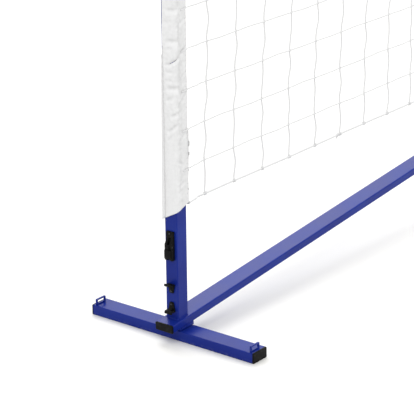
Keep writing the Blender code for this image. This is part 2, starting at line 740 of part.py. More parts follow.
def tensioner():
    """Body with two cheeks, and the cam lever on its pin between them."""
    place = (FACE, 0, TENSIONER_BOTTOM)
    turn = (0, 0, math.pi)
    side = [
        (0, 0), (TENSIONER_CHEEK_DEPTH - TENSIONER_CHAMFER, 0), (TENSIONER_CHEEK_DEPTH, TENSIONER_CHAMFER),
        (TENSIONER_CHEEK_DEPTH, CHEEK_TOP), (TENSIONER_TOP_DEPTH, CHEEK_TOP + CHEEK_SLOPE),
        (TENSIONER_TOP_DEPTH, TENSIONER_HEIGHT - TENSIONER_CHAMFER),
        (TENSIONER_TOP_DEPTH - TENSIONER_CHAMFER, TENSIONER_HEIGHT), (0, TENSIONER_HEIGHT)]
    block = side_plate("tensioner_body", side, TENSIONER_WIDTH)
    body = add_object("tensioner_body", block, black_plastic(), None, place, turn)
    half = CHANNEL_WIDTH / 2
    deep = 2 * TENSIONER_CHEEK_DEPTH
    top = TENSIONER_HEIGHT - 2 * TENSIONER_SCREW_INSET - CHANNEL_TOP_LAND
    channel = box_mesh("tensioner_channel", (TENSIONER_BASE, -half, -TENSIONER_HEIGHT), (deep, half, top))
    cut(body, "tensioner_channel", channel, None, place, turn)
    cord_hole = across_rod("tensioner_cord_hole", CORD_HOLE, -deep, deep)
    cord_hole.transform(Matrix.Translation((0, 0, CORD_HOLE_HEIGHT)))
    cut(body, "tensioner_cord_hole", cord_hole, None, place, turn)
    for index, seat in enumerate(tensioner_screw_places()):
        name = "tensioner_screw_hole_%d" % index
        hole = across_rod(name, SCREW_DIAMETER + 2 * SCREW_CLEARANCE, -deep, deep)
        cut(body, name, hole, None, seat)
    along_y = (math.pi / 2, 0, 0)
    pivot_place = (FACE - PIVOT_OUT, 0, PIVOT_HEIGHT)
    hole = rod_mesh("pivot_hole", PIVOT_DIAMETER + 2 * FIT_GAP, -TENSIONER_WIDTH, TENSIONER_WIDTH)
    cut(body, "pivot_hole", hole, None, pivot_place, along_y)
    pin = rod_mesh("lever_pin", PIVOT_DIAMETER, -TENSIONER_WIDTH / 2, TENSIONER_WIDTH / 2)
    add_object("lever_pin", pin, dark_steel(), None, pivot_place, along_y)
    lever(pivot_place, turn)
    lower, upper = tensioner_screw_places()
    screw("tensioner_screw_lower", lower, TENSIONER_BASE)
    screw("tensioner_screw_upper", upper, TENSIONER_TOP_DEPTH)


def lever(place, turn):
    """Cam between the cheeks and a wide grip that lies over them, pointing down."""
    inside = CHANNEL_WIDTH - 2 * LEVER_CLEARANCE
    out = TENSIONER_CHEEK_DEPTH - PIVOT_OUT + LEVER_CLEARANCE
    cam = side_plate("tension_lever", lever_side(out), inside)
    made = add_object("tension_lever", cam, black_plastic(), None, place, turn)
    half = LEVER_GRIP_WIDTH / 2
    high = (out + LEVER_THICKNESS, half, LEVER_GRIP_LENGTH - LEVER_ARM)
    grip = box_mesh("lever_grip", (out, -half, -LEVER_ARM), high)
    join(made, "lever_grip", grip, None, place, turn)
    bore = rod_mesh("lever_bore", PIVOT_DIAMETER + 2 * PIVOT_CLEARANCE, -TENSIONER_WIDTH, TENSIONER_WIDTH)
    cut(made, "lever_bore", bore, None, place, (math.pi / 2, 0, 0))


def lever_side(out):
    """Side outline about the pivot: a round cam that runs down into a straight arm."""
    web = LEVER_ARM - LEVER_THICKNESS / 2
    skin = out + LEVER_THICKNESS / 2
    back = out - LEVER_THICKNESS
    outline = []
    for step in range(SMALL_STEPS + 1):
        angle = CAM_ARC * (1 - step / SMALL_STEPS)
        outline.append((CAM_RADIUS * math.cos(angle), CAM_RADIUS * math.sin(angle)))
    return outline + [(skin, -CAM_RADIUS), (skin, -web), (back, -web), (back, -2 * CAM_RADIUS)]


def side_plate(name, outline, width):
    """A side outline in local XZ, made as wide as asked along Y."""
    mesh = plate_mesh(name, [outline], width)
    mesh.transform(Matrix.Rotation(math.pi / 2, 4, "X"))
    return mesh


def across_rod(name, diameter, start, end):
    """A rod along local X between two places."""
    mesh = rod_mesh(name, diameter, start, end, SMALL_STEPS)
    mesh.transform(Matrix.Rotation(math.pi / 2, 4, "Y"))
    return mesh


def hook(name, top, turn):
    """One cord hook: pad on the face, horn out to a lip, rib behind the horn, peg in the post."""
    pad_half = HOOK_WIDTH / 2 - HOOK_TUCK
    pad = box_mesh(name, (0, -pad_half, -HOOK_HEIGHT), (HOOK_PAD, pad_half, -HOOK_TUCK))
    for vertex in pad.vertices:
        if vertex.co.z < -HOOK_HEIGHT / 2:
            vertex.co.y *= HOOK_FOOT_WIDTH / HOOK_WIDTH
    place = (FACE, 0, top)
    made = add_object(name, pad, black_plastic(), None, place, turn)
    root = HOOK_PAD / 2
    lip = HOOK_REACH - HOOK_LIP_THICKNESS
    horn = [
        (root, 0), (lip, 0), (lip, HOOK_LIP), (HOOK_REACH, HOOK_LIP),
        (HOOK_REACH, -HOOK_HORN / 2), (lip, -HOOK_HORN), (root, -HOOK_HORN)]
    join(made, name + "_horn", side_plate(name + "_horn", horn, HOOK_WIDTH), None, place, turn)
    rib = [(root, -HOOK_HORN / 2), (lip - HOOK_TUCK, -HOOK_HORN / 2), (root, -HOOK_RIB_LENGTH)]
    join(made, name + "_rib", side_plate(name + "_rib", rib, HOOK_RIB_WIDTH), None, place, turn)
    peg = across_rod(name + "_peg", HOOK_PEG_DIAMETER, -POST_WALL - FIT_GAP, root)
    peg.transform(Matrix.Translation((0, 0, -HOOK_PEG_DROP)))
    join(made, name + "_peg", peg, None, place, turn)
    hole = across_rod(name + "_hole", SCREW_DIAMETER + 2 * SCREW_CLEARANCE, -HOOK_REACH, HOOK_REACH)
    hole.transform(Matrix.Translation((0, 0, -HOOK_SCREW_DROP)))
    cut(made, name + "_hole", hole, None, place, turn)


def hooks():
    hook("cord_hook_upper", UPPER_HOOK_TOP, (0, 0, math.pi))
    hook("cord_hook_lower", LOWER_HOOK_BOTTOM, (0, math.pi, 0))
    upper, lower = hook_screw_places()
    screw("hook_screw_upper", upper, HOOK_PAD)
    screw("hook_screw_lower", lower, HOOK_PAD)


def screw(name, place, depth):
    """A pan-head screw driven into the post's outer face, its head at a depth out from it."""
    head = SCREW_HEAD_DIAMETER / 2
    shank = SCREW_DIAMETER / 2
    seat = depth + FIT_GAP
    crown = seat + SCREW_HEAD_HEIGHT
    tip = seat - SCREW_LENGTH
    profile = [
        (0, crown), (SCREW_CROWN_DIAMETER / 2, crown), (head, seat + SCREW_RIM), (head, seat),
        (shank, seat), (shank, tip + shank), (SCREW_TIP_DIAMETER / 2, tip), (0, tip)]
    turned(name, profile, dark_steel(), None, place, (0, -math.pi / 2, 0))


def row_heights():
    return [NET_BOTTOM + FIRST_ROW + ROW_PITCH * index for index in range(ROWS)]


def column_places():
    return [FIRST_COLUMN + COLUMN_PITCH * index for index in range(COLUMNS)]


def sway(index, height):
    """Sideways wander of a column at a height."""
    rows_up = (height - NET_BOTTOM - FIRST_ROW) / ROW_PITCH
    lean = COLUMN_LEAN * rows_up + COLUMN_DRIFT * (index + 1)
    short = SHORT_WAVE * math.sin(2 * math.pi * rows_up + SHORT_WAVE_START)
    long = LONG_WAVE * math.sin(LONG_WAVE_RATE * rows_up + LONG_WAVE_START + LONG_WAVE_STEP * index)
    return lean + short + long


def net_mesh():
    """Net cords as one flat lattice: a grid sheet without its gaps, then thickened."""
    half = CORD_THICKNESS / 2
    low = NET_BOTTOM + BOTTOM_CORD_DIAMETER / 2 + FIT_GAP
    high = NET_TOP - HEADBAND_DEPTH - FIT_GAP
    rows = row_heights()
    levels = []
    for bottom, top in zip([low] + [row + half for row in rows], [row - half for row in rows] + [high]):
        levels += [bottom + (top - bottom) * step / WAVE_STEPS for step in range(WAVE_STEPS)] + [top]
    across = [NET_START]
    for place in column_places():
        across += [place - half, place + half]
    across.append(NET_END - FIT_GAP)

    def build(shape):
        grid = [[shape.verts.new((x, 0, z)) for x in across] for z in levels]
        for j in range(len(levels) - 1):
            cord_row = abs(levels[j + 1] - levels[j] - CORD_THICKNESS) < FIT_GAP
            for i in range(len(across) - 1):
                if i % 2 == 1 or cord_row:
                    shape.faces.new((grid[j][i], grid[j][i + 1], grid[j + 1][i + 1], grid[j + 1][i]))
        for j, height in enumerate(levels):
            near_row = min(abs(height - row) for row in rows) < CORD_THICKNESS
            for i in range(1, len(across) - 1):
                column = (i - 1) // 2
                grid[j][i].co.x += sway(column, height)
                if near_row:
                    row = min(rows, key=lambda value: abs(value - height))
                    grid[j][i].co.x += math.copysign(KNOT_SWELL, i % 2 == 0 or -1)
                    grid[j][i].co.z += math.copysign(KNOT_SWELL, height - row)
        loose = [vertex for vertex in shape.verts if not vertex.link_faces]
        bmesh.ops.delete(shape, geom=loose, context="VERTS")

    made = add_object("net_mesh", mesh_from(build, "net_mesh"), white_cord())
    add_modifier(made, "SOLIDIFY", thickness=CORD_THICKNESS, offset=0)


def net_borders():
    """Bottom cord, white headband and the band that ends the net."""
    end = NET_END + SIDE_BAND_WIDTH
    cord = rod_mesh("net_bottom_cord", BOTTOM_CORD_DIAMETER, NET_START, NET_END - FIT_GAP, SMALL_STEPS)
    add_object("net_bottom_cord", cord, white_cord(), None, (0, 0, NET_BOTTOM), (0, math.pi / 2, 0))
    band_bottom = NET_TOP - HEADBAND_DEPTH
    half = HEADBAND_THICKNESS / 2
    band = box_mesh("net_headband", (NET_START, -half, band_bottom), (end, half, NET_TOP))
    soften(add_object("net_headband", band, white_cloth()), HEADBAND_EDGE)
    half = SIDE_BAND_THICKNESS / 2
    cord_bottom = NET_BOTTOM - BOTTOM_CORD_DIAMETER / 2
    band = box_mesh("net_side_band", (NET_END, -half, cord_bottom), (end, half, band_bottom - FIT_GAP))
    soften(add_object("net_side_band", band, white_cloth()), SIDE_BAND_EDGE)


def sleeve_bottom(x, y):
    """Height of the sleeve's lower edge: lowest at the outer far corner."""
    outer = NET_BOTTOM - SLEEVE_OUTER_DROP
    toward_net = x / SLEEVE_SIZE + 0.5
    toward_near = 0.5 - y / SLEEVE_SIZE
    far_lift = SLEEVE_OUTER_DROP * toward_net
    near_lift = SLEEVE_SIDE_LIFT + SLEEVE_NET_LIFT * toward_net
    return outer + far_lift * (1 - toward_near) + near_lift * toward_near


def sleeve():
    """Cloth pocket round the post, creased across, with a sewn flap and a top slit."""
    radius = SLEEVE_CORNER
    outline = []
    plain = rounded_rectangle(SLEEVE_SIZE, SLEEVE_SIZE, radius)
    count = len(plain)
    for index, point in enumerate(plain):
        following = plain[(index + 1) % count]
        outline.append((point, 0.0))
        if (index + 1) % (CORNER_STEPS + 1) == 0:
            middle = ((point[0] + following[0]) / 2, (point[1] + following[1]) / 2)
            outline.append((middle, 1.0))

    def build(shape):
        rings = []
        for level in range(SLEEVE_RINGS):
            share = level / (SLEEVE_RINGS - 1)
            points = []
            for (x, y), free in outline:
                bottom = sleeve_bottom(x, y)
                z = bottom + (NET_TOP - bottom) * share
                crease = math.sin(2 * math.pi * z / WRINKLE_PITCH + WRINKLE_SLANT * x)
                fold = crease * math.sin(WRINKLE_PATCH * z + WRINKLE_SHIFT * y)
                swell = 1 + free * WRINKLE_DEPTH * share * fold * fold / (SLEEVE_SIZE / 2)
                points.append((x * swell, y * swell, z))
            rings.append(points)
        loft(shape, rings, closed=False)

    cloth = mesh_from(build, "net_sleeve")
    made = add_object("net_sleeve", cloth, white_cloth(), None, (POST_OFFSET, 0, 0))
    solidify(made, SLEEVE_WALL)
    edge = SLEEVE_SIZE / 2
    far = edge - FLAP_INSET
    half = FLAP_THICKNESS / 2
    low = (-edge - FLAP_REACH, far - half, sleeve_bottom(-edge, far) + FLAP_THICKNESS)
    high = (-edge + FLAP_SEAT, far + half, NET_TOP - SLIT_HEIGHT + FLAP_OVERLAP)
    join(made, "sleeve_flap", box_mesh("sleeve_flap", low, high), None, (POST_OFFSET, 0, 0))
    cut(made, "sleeve_slit", slit_mesh(), None, (POST_OFFSET - edge, edge, 0))


def slit_mesh():
    """Wedge at the outer far corner, narrow below and widest at the sleeve's top."""
    bottom = NET_TOP - SLIT_HEIGHT
    top = NET_TOP + SLIT_HEIGHT * SLIT_OVERRUN
    mesh = box_mesh("sleeve_slit", (-1, -1, bottom), (1, 1, top))
    for vertex in mesh.vertices:
        reach = SLIT_WIDTH * (1 + SLIT_OVERRUN) if vertex.co.z > NET_TOP else SLEEVE_WALL
        vertex.co.x *= reach
        vertex.co.y *= reach
    mesh.update()
    return mesh


def main():
    clear_scene()
    foot(add_empty("foot_swivel_axis"))
    swivel()
    bar = add_empty("crossbar_line", (0, 0, BAR_UNDERSIDE), (0, -BAR_RISE, 0))
    crossbar(bar)
    coupling(bar)
    post()
    post_head()
    tensioner()
    hooks()
    net_mesh()
    net_borders()
    sleeve()


main()
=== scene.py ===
"""Looks of the tennis net post: powder coat, moulded fittings, cloth sleeve, knotted net and light."""

import json
import math
import random

import bmesh
import bpy
from mathutils import Matrix, Vector, noise


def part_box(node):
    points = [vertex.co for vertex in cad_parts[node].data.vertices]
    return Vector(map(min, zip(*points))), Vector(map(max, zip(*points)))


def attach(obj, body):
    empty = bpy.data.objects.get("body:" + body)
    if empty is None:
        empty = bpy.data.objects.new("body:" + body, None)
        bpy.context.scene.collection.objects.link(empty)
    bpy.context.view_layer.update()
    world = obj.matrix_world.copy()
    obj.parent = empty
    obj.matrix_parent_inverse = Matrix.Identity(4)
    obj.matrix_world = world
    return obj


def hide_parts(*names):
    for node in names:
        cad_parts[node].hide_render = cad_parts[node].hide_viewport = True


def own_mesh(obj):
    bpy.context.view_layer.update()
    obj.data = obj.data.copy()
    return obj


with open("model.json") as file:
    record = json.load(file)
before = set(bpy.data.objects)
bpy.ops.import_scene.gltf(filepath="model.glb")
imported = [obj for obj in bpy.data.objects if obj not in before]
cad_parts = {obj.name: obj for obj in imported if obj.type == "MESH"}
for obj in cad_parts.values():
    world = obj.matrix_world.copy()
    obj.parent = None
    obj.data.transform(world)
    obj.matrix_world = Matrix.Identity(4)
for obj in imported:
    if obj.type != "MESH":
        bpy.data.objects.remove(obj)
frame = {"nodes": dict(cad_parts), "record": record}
bpy.ops.object.select_all(action="DESELECT")
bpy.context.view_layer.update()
wander = random.Random(7)

# Places taken from the part, in metres
NET_LOW = 0.318
NET_HIGH = 0.914
NET_START = 0.0155
NET_END = 1.1058
ROW_PITCH = 0.0914
FIRST_ROW = 0.3995
ROW_COUNT = 5
FIRST_COLUMN = 0.1077
COLUMN_PITCH = 0.1109
COLUMN_COUNT = 9
BAND_DEPTH = 0.0575
BAND_WIDTH = 0.020
BAR_RISE = math.radians(5.2)

# Wander of the net's columns: a lean, a short wave from row to row, a long one and one of each column's own
COLUMN_LEAN = 0.0013
COLUMN_DRIFT = 0.0009
SHORT_WAVE = 0.0028
SHORT_WAVE_START = -2.06
LONG_WAVE = 0.0033
LONG_WAVE_START = -1.78
LONG_WAVE_RATE = 1.2
LONG_WAVE_STEP = 0.28
OWN_WAVE = 0.0022
OWN_WAVE_RATE = 4.1
OWN_WAVE_STEP = 2.3
TOP_PULL = 0.0022
TOP_PULL_FADE = 0.5
COLUMN_BULGE = 0.0008
COLUMN_BULGE_RATE = 9
COLUMN_FRONT = 0.0012
ROW_DIP = 0.0016
ROW_DIP_ROW = 1.7
ROW_DIP_SPAN = 2.1
ROW_SWAY = 0.0004
ROW_SWAY_RATE = 31

# Net strings, their knots and their ties
STRING_RADIUS = 0.0019
STRING_SIDES = 8
ROW_STEP = 0.0085
COLUMN_STEP = 0.0065
STRING_TUCK = 0.006
ROW_TUCK = 0.004
KNOT_LEAN = 0.8
KNOT_UNEVEN = 0.25
KNOT_REACH = 0.0021
KNOT_CORD = 0.00112
KNOT_DEPTH = 0.0006
ON_CLOTH = 0.0003

# A row's end on the sleeve: place along the net, distance from the cloth and rise above the row
ROW_TIE = (
    (-0.0062, 0.0012, 0.0062), (0.0020, 0.0, 0.0068), (0.0105, 0.0, 0.0074), (0.0140, 0.0010, 0.0077),
    (0.0163, 0.0028, 0.0078))
# From there a row comes to the net's middle plane: place along the net, across it and rise
ROW_LEAD = ((0.0400, -0.0148, 0.0052), (0.0650, -0.0089, 0.0024))
ROW_START = 0.020

# Rope under the net, its ties and the string's tail that hangs from it
ROPE_RADIUS = 0.0027
ROPE_STRANDS = 3
STRAND_DIP = 0.10
ROPE_LAY = 0.013
ROPE_SIDES = 15
ROPE_STEP = 0.0012
ROPE_START = (0.0180, -0.0182, 0.3238)
ROPE_LEAD = (
    (0.0250, -0.0158, 0.0044), (0.0350, -0.0120, 0.0026), (0.0500, -0.0070, 0.0009),
    (0.0620, -0.0040, 0.0002))
ROPE_STRAIGHT = 0.0740
ROPE_SAG = 0.0006
ROPE_SAG_RATE = 11
ROPE_SWAY = 0.0003
ROPE_SWAY_RATE = 40
ROPE_END_GAP = 0.0004
TIE_PITCH = 0.0024
TIE_SLANT = 0.18
TIE_CORD = 0.0011
TIE_CLEAR = 0.0009
TURN_CLIMB = 0.0006
COLUMN_TIE_TURNS = 3
TAIL_TIE_TURNS = 2
TAIL_RUN = 0.6455
TAIL = ((0.0, 0.0026, -0.0016), (-0.0006, 0.0030, -0.0052), (0.0008, 0.0024, -0.0094))
TAIL_RADIUS = STRING_RADIUS * 0.9

# Cord down the sleeve's lower corner, and the groups of turns that tie it: lowest turn, number of turns
SIDE_CORD = (
    (0.0148, -0.0216, 0.500), (0.0172, -0.0206, 0.486), (0.0185, -0.0200, 0.464),
    (0.0180, -0.0198, 0.440), (0.0172, -0.0192, 0.410), (0.0168, -0.0188, 0.375),
    (0.0174, -0.0184, 0.345), ROPE_START)
SIDE_CORD_RADIUS = 0.0014
SIDE_CORD_SIDES = 10
SIDE_CORD_LAY = 0.009
SIDE_CORD_STEPS = 6
SIDE_CORD_SWAY = 0.0003
SIDE_CORD_RATE = 260
SIDE_TIES = ((0.4585, 7), (0.4375, 4), (0.4010, 2), (0.3560, 2))
SIDE_TIE_PITCH = 0.0017
SIDE_TIE_REACH = 0.0021
SIDE_TIE_CORD = 0.0009
SIDE_TIE_SLANT = 0.15
ROPE_KNOT_TURNS = 3
ROPE_KNOT_PITCH = 0.0022
ROPE_KNOT_REACH = 0.0026
ROPE_KNOT_CORD = 0.0012
ROPE_KNOT_SLANT = 0.25

# Sleeve: the middle of its cloth round the post
CLOTH_WALL = 0.0009
CLOTH_LEFT = -0.0253
CLOTH_RIGHT = 0.0162
CLOTH_FAR = 0.0190
CLOTH_NEAR = -0.0222
CORNER_OUTER_NEAR = 0.0068
CORNER_NET = 0.0050
CORNER_OUTER_FAR = 0.0032
CORNER_STEPS = 8
CLOTH_LEVELS = 280
CLOTH_COLUMNS = 120

# Its seam, the flap below the slit and the free edges above it
SEAM_INSET = 0.0055
SEAM_TOP = 0.655
FLAP_TOP = 0.690
FLAP_REACH = 0.0105
FLAP_GAP = 0.00055
FLAP_STEPS = 6
EDGE_HEM = 0.0018
EDGE_LIFT = 0.0003
SLIT_LIFT = 0.020
SLIT_PULL = 0.0115
SLIT_REACH = 0.0125
NEAR_EDGE_DELAY = 0.004
NEAR_EDGE_LIFT = 0.095
NEAR_EDGE_PULL = 0.0008
NEAR_EDGE_SPREAD = 0.015
NEAR_EDGE_MIDDLE = 0.763

# Its hem: the lowest corner, how it climbs toward the near side and toward the net, and its fold
HEM_LOW = 0.2912
HEM_CLIMB_NEAR = 0.53
HEM_CLIMB_NET = 0.60
HEM_TWIST = 0.22
HEM_RISE = 0.007
HEM_DEPTH = 0.009
HEM_THICK = 0.00035
HEM_STEP = 0.0016
HEM_GUIDE = 0.300
TOP_CLEAR = 0.0005

# Its looseness, and the strip along its edges that lies flat
LOOSE = 0.0008
FINE = 0.00018
FINE_UPPER = 0.00055
FINE_CORNER = 0.00050
UPPER_START = 0.46
UPPER_SOFT = 0.06
CORNER_RUN = 0.045
CORNER_SPREAD = 0.016
EDGE_CALM = 0.004
CALM_LEVELS = 6
PUSH_IN = -0.0014
PUSH_OUT = 0.0028

# Its mouth: the crease that gapes and shows the post, and the folds that run on from it
MOUTH_HALF = 0.0006
MOUTH_SOFT = 0.035
MOUTH = (
    (-0.020, 0.648), (0.0160, 0.6508), (0.043, 0.6665), (0.0590, 0.6817), (0.071, 0.6873), (0.100, 0.668),
    (0.180, 0.648))
MOUTH_START = MOUTH[1][0]
MOUTH_END = MOUTH[2][0]

# Its creases: place round from the seam, height, the other end of each, half width, depth
CREASES = (
    (0.014, 0.7720, 0.038, 0.7735, 0.0036, 0.0013),
    (0.004, 0.7420, 0.022, 0.7480, 0.0028, 0.0007),
    (0.014, 0.7028, 0.038, 0.7050, 0.0038, 0.0016),
    (0.008, 0.6840, 0.026, 0.6890, 0.0026, 0.0007),
    (0.008, 0.6500, 0.0160, 0.6508, 0.0024, 0.0010),
    (0.0160, 0.6508, 0.043, 0.6665, 0.0028, 0.0020),
    (0.043, 0.6665, 0.0590, 0.6817, 0.0022, 0.0017),
    (0.0590, 0.6817, 0.071, 0.6873, 0.0020, 0.0013),
    (0.010, 0.6320, 0.024, 0.6340, 0.0024, 0.0007),
    (0.008, 0.6130, 0.024, 0.6160, 0.0024, 0.0008),
    (0.014, 0.5965, 0.038, 0.6000, 0.0038, 0.0017),
    (0.011, 0.5700, 0.027, 0.5760, 0.0030, 0.0012),
    (0.023, 0.5350, 0.040, 0.5420, 0.0030, 0.0014),
    (0.014, 0.4985, 0.038, 0.5165, 0.0034, 0.0015),
    (0.012, 0.4800, 0.026, 0.4900, 0.0030, 0.0007),
    (0.040, 0.4700, 0.058, 0.4860, 0.0026, 0.0008),
    (0.040, 0.5560, 0.066, 0.5800, 0.0028, 0.0010),
    (0.042, 0.6120, 0.064, 0.6280, 0.0026, 0.0009),
    (0.040, 0.7350, 0.066, 0.7520, 0.0028, 0.0010),
    (0.038, 0.4300, 0.056, 0.4200, 0.0030, 0.0008),
    (0.040, 0.3720, 0.060, 0.3800, 0.0030, 0.0008),
    (0.014, 0.8560, 0.036, 0.8490, 0.0036, 0.0013),
    (0.036, 0.8420, 0.066, 0.8620, 0.0030, 0.0010),
    (0.012, 0.8120, 0.036, 0.8080, 0.0034, 0.0012),
    (0.082, 0.7600, 0.112, 0.7440, 0.0036, 0.0016),
    (0.084, 0.7000, 0.110, 0.7120, 0.0030, 0.0014),
    (0.084, 0.6400, 0.114, 0.6620, 0.0034, 0.0017),
    (0.082, 0.5900, 0.108, 0.5820, 0.0030, 0.0012),
    (0.082, 0.5400, 0.108, 0.5300, 0.0034, 0.0014),
    (0.084, 0.4500, 0.106, 0.4620, 0.0034, 0.0010),
    (0.122, 0.7000, 0.150, 0.7120, 0.0038, 0.0015),
    (0.120, 0.6600, 0.148, 0.6520, 0.0030, 0.0013),
    (0.120, 0.6120, 0.148, 0.5960, 0.0034, 0.0015),
    (0.122, 0.5660, 0.146, 0.5740, 0.0030, 0.0010),
    (0.122, 0.8060, 0.142, 0.7920, 0.0036, 0.0013),
    (0.120, 0.5200, 0.150, 0.5300, 0.0034, 0.0013),
    (0.120, 0.4280, 0.148, 0.4140, 0.0034, 0.0009),
)
CREASE_SPAN = 0.05
CREASE_GAIN = 1.4
CREASE_ENDS = 0.55
CREASE_MIDDLE = 0.45
ROLL_DROP = 2.3
ROLL_WIDTH = 1.4
ROLL_SHARE = 0.80

# How grey the cloth of the sleeve and the bands is: a share for each cause, then where and how far it
# shows. Its own grey and wear are real; the shares over creases, the seam, the near corner, the near side
# and the band's pinches are painted shade, and the share on the rolls under the creases is painted light
SOIL = 0.24
PAINTED_SHADE_NEAR_SIDE = 0.12
PAINTED_SHADE_CREASE = 0.60
PAINTED_LIGHT_ROLL = 0.46
PAINTED_SHADE_SEAM = 0.7
PAINTED_SHADE_CORNER = 0.08
PAINTED_SHADE_CORNER_UPPER = 0.12
PAINTED_SHADE_CORNER_MOTTLE = 0.55
SOIL_WORN = 0.10
SOIL_WORN_UPPER = 0.14
SOIL_BAND = 0.30
PAINTED_SHADE_BAND_PINCH = 0.35
SOIL_BAND_MOTTLE = 0.20
NEAR_SIDE_START = 0.038
NEAR_SIDE_END = 0.082
NEAR_SIDE_SOFT = 0.006
CREASE_SHADE_RISE = 0.0022
ROLL_PALE = 0.0010
SEAM_LINE = 0.0008
SEAM_SOFT = 0.0015
WEAR_AND_SHADE_UPPER_START = 0.44
WEAR_AND_SHADE_UPPER_SOFT = 0.08
PAINTED_SHADE_CORNER_SPREAD = 0.0075

# Bands of the net. A rim's profile: share of its width from the edge, share of the half thickness
HEADBAND_HALF = 0.0013
SIDE_BAND_HALF = 0.0014
BAND_STEP = 0.008
BAND_RIM = 0.0012
BAND_ROWS = 10
BAND_WAVE = 0.0007
BAND_SOFT = 0.12
BAND_PINCH = 0.28
PINCH_WIDTH = 0.0016
RIM_PROFILE = ((0.0, 0.35), (0.4, 0.8))
BAND_GAP = 0.0003
HEADBAND_SEWN_LOW = 0.006
HEADBAND_SEWN_HIGH = 0.012
SIDE_BAND_SEWN = 0.004

# Stitches
STITCH_RADIUS = 0.00028
STITCH_RISE = 0.0003
STITCH_SUNK = 0.0001
STITCH_STEPS = 4
STITCH_SIDES = 5
BAND_STITCH = 0.0034
BAND_STITCH_PITCH = 0.0046
BAND_STITCH_INSET = 0.006
SIDE_STITCH_INSET = 0.004
HEADBAND_STITCH_OUT = 0.0015
SIDE_STITCH_OUT = 0.0016
STITCHES_SHORT = 0.01
FLAP_STITCH = 0.0032
FLAP_STITCH_PITCH = 0.0045
FLAP_STITCH_INSET = 0.0034
LACE_RADIUS = 0.00055
LACE_START = 0.336
LACE_PITCH = 0.0118
LACE_UNEVEN = 0.0008
LACE_IN = 0.0092
LACE_END = (0.0152, 0.0021, 0.0052)
LACE_OUTSIDE = (0.4, -0.9, 0)

# Unevenness of the cloth and the welds: its rate along and across, per metre, and its seed
LOOSE_GRAIN = (45, 26, 3.1)
FINE_GRAIN = (130, 120, 8.7)
MOTTLE_GRAIN = (150, 120, 2.2)
WORN_GRAIN = (120, 150, 6.1)
HEADBAND_GRAIN = (18, 30, 1.7)
SIDE_BAND_GRAIN = (18, 30, 5.2)
BAND_SOFT_GRAIN = (90, 60, 9.0)
BAND_SOIL_GRAIN = (60, 90, 4.4)
WELD_GRAIN = (300, 1, 0)

# Edges of the moulded and welded pieces, and their welds
MOULDED_EDGE = 0.00045
PRESSED_EDGE = 0.0006
CLIP_EDGE = 0.00008
SAME_PLACE = 0.000005
FLAT_ANGLE = math.radians(1)
EDGE_STEPS = 3
EDGE_ANGLE = math.radians(28)
SMOOTH_ANGLE = math.radians(34)
POST_WELD = 0.0019
POST_WELD_CORNER = 0.0022
SADDLE_WELD = 0.0013
SADDLE_WELD_INSET = 0.003
LOOP_WELD = 0.0011
LOOP_WELD_INSET = 0.0028
LOOP_WELD_HALF = 0.0022
WELD_SEAT = 0.0002
WELD_STEP = 0.0006
WELD_SIDES = 10
WELD_SIZE = 0.92
WELD_RIPPLE = 0.12
WELD_RIPPLE_PITCH = 0.0022
WELD_UNEVEN = 0.06

# Threads in the materials: their pitches, and the strands that a braid has each way round
WEAVE_PITCH = 0.0011
STRAND_PITCH = 0.0034
BRAID_STRANDS = 3
TWIST_PITCH = 0.0006

# Colours, linear
COAT_BLUE = (0.0065, 0.020, 0.225, 1.0)
COAT_PALE = (0.0090, 0.028, 0.262, 1.0)
DUST = (0.30, 0.31, 0.36, 1.0)
PLASTIC_BLACK = (0.0042, 0.0042, 0.0042, 1.0)
PLASTIC_WORN = (0.014, 0.014, 0.014, 1.0)
ZINC = (0.56, 0.57, 0.58, 1.0)
ZINC_DULL = (0.34, 0.35, 0.37, 1.0)
BLACK_ZINC = (0.030, 0.031, 0.034, 1.0)
CLOTH_WHITE = (0.96, 0.96, 0.96, 1.0)
CLOTH_SHADE = (0.71, 0.71, 0.705, 1.0)
CORD_WHITE = (0.84, 0.84, 0.84, 1.0)
CORD_SHADE = (0.65, 0.65, 0.65, 1.0)
THREAD_GREY = (0.45, 0.45, 0.45, 1.0)
FLOOR_PALE = (0.70, 0.70, 0.70, 1.0)
FLOOR_SHOWN = (0.96, 0.955, 0.93, 1.0)

# Floor, surround, lights as direction, spread in degrees and strength, and camera
FLOOR_SIZE = 60
FLOOR_LEVEL = -0.0002
SURROUND_LIGHT = 0.82
SURROUND_SHOWN = 1.0
LIGHTS = {
    "key": ((0.44, 0.44, 0.66), 42, 1.40),
    "front_top": ((-0.52, -0.26, 0.82), 40, 0.48),
    "front_right": ((0.10, -1.00, 0.40), 50, 0.32)}
CAMERA_PLACE = (-2.9255, -2.3645, 1.6756)
CAMERA_RIGHT = (0.61164, -0.79108, -0.01045)
CAMERA_UP = (0.27533, 0.20046, 0.94023)
CAMERA_BACK = (-0.74169, -0.57795, 0.34041)
CAMERA_LENS = 155.13
CAMERA_SENSOR = 36.0
CAMERA_REACH = 100.0

# Sockets that hold one value all over a piece
SOCKETS = {
    "roughness": "Roughness", "metallic": "Metallic", "sheen_weight": "Sheen Weight",
    "sheen_roughness": "Sheen Roughness", "specular_ior_level": "Specular IOR Level"}


class Amount:
    """A value in a material, so that its maths is written as an expression."""

    def __init__(self, finish, socket):
        self.finish = finish
        self.socket = socket

    def __add__(self, other):
        return self.finish.maths("ADD", self, other)

    def __sub__(self, other):
        return self.finish.maths("SUBTRACT", self, other)

    def __rsub__(self, other):
        return self.finish.maths("SUBTRACT", other, self)

    def __mul__(self, other):
        return self.finish.maths("MULTIPLY", self, other)

    __radd__ = __add__
    __rmul__ = __mul__


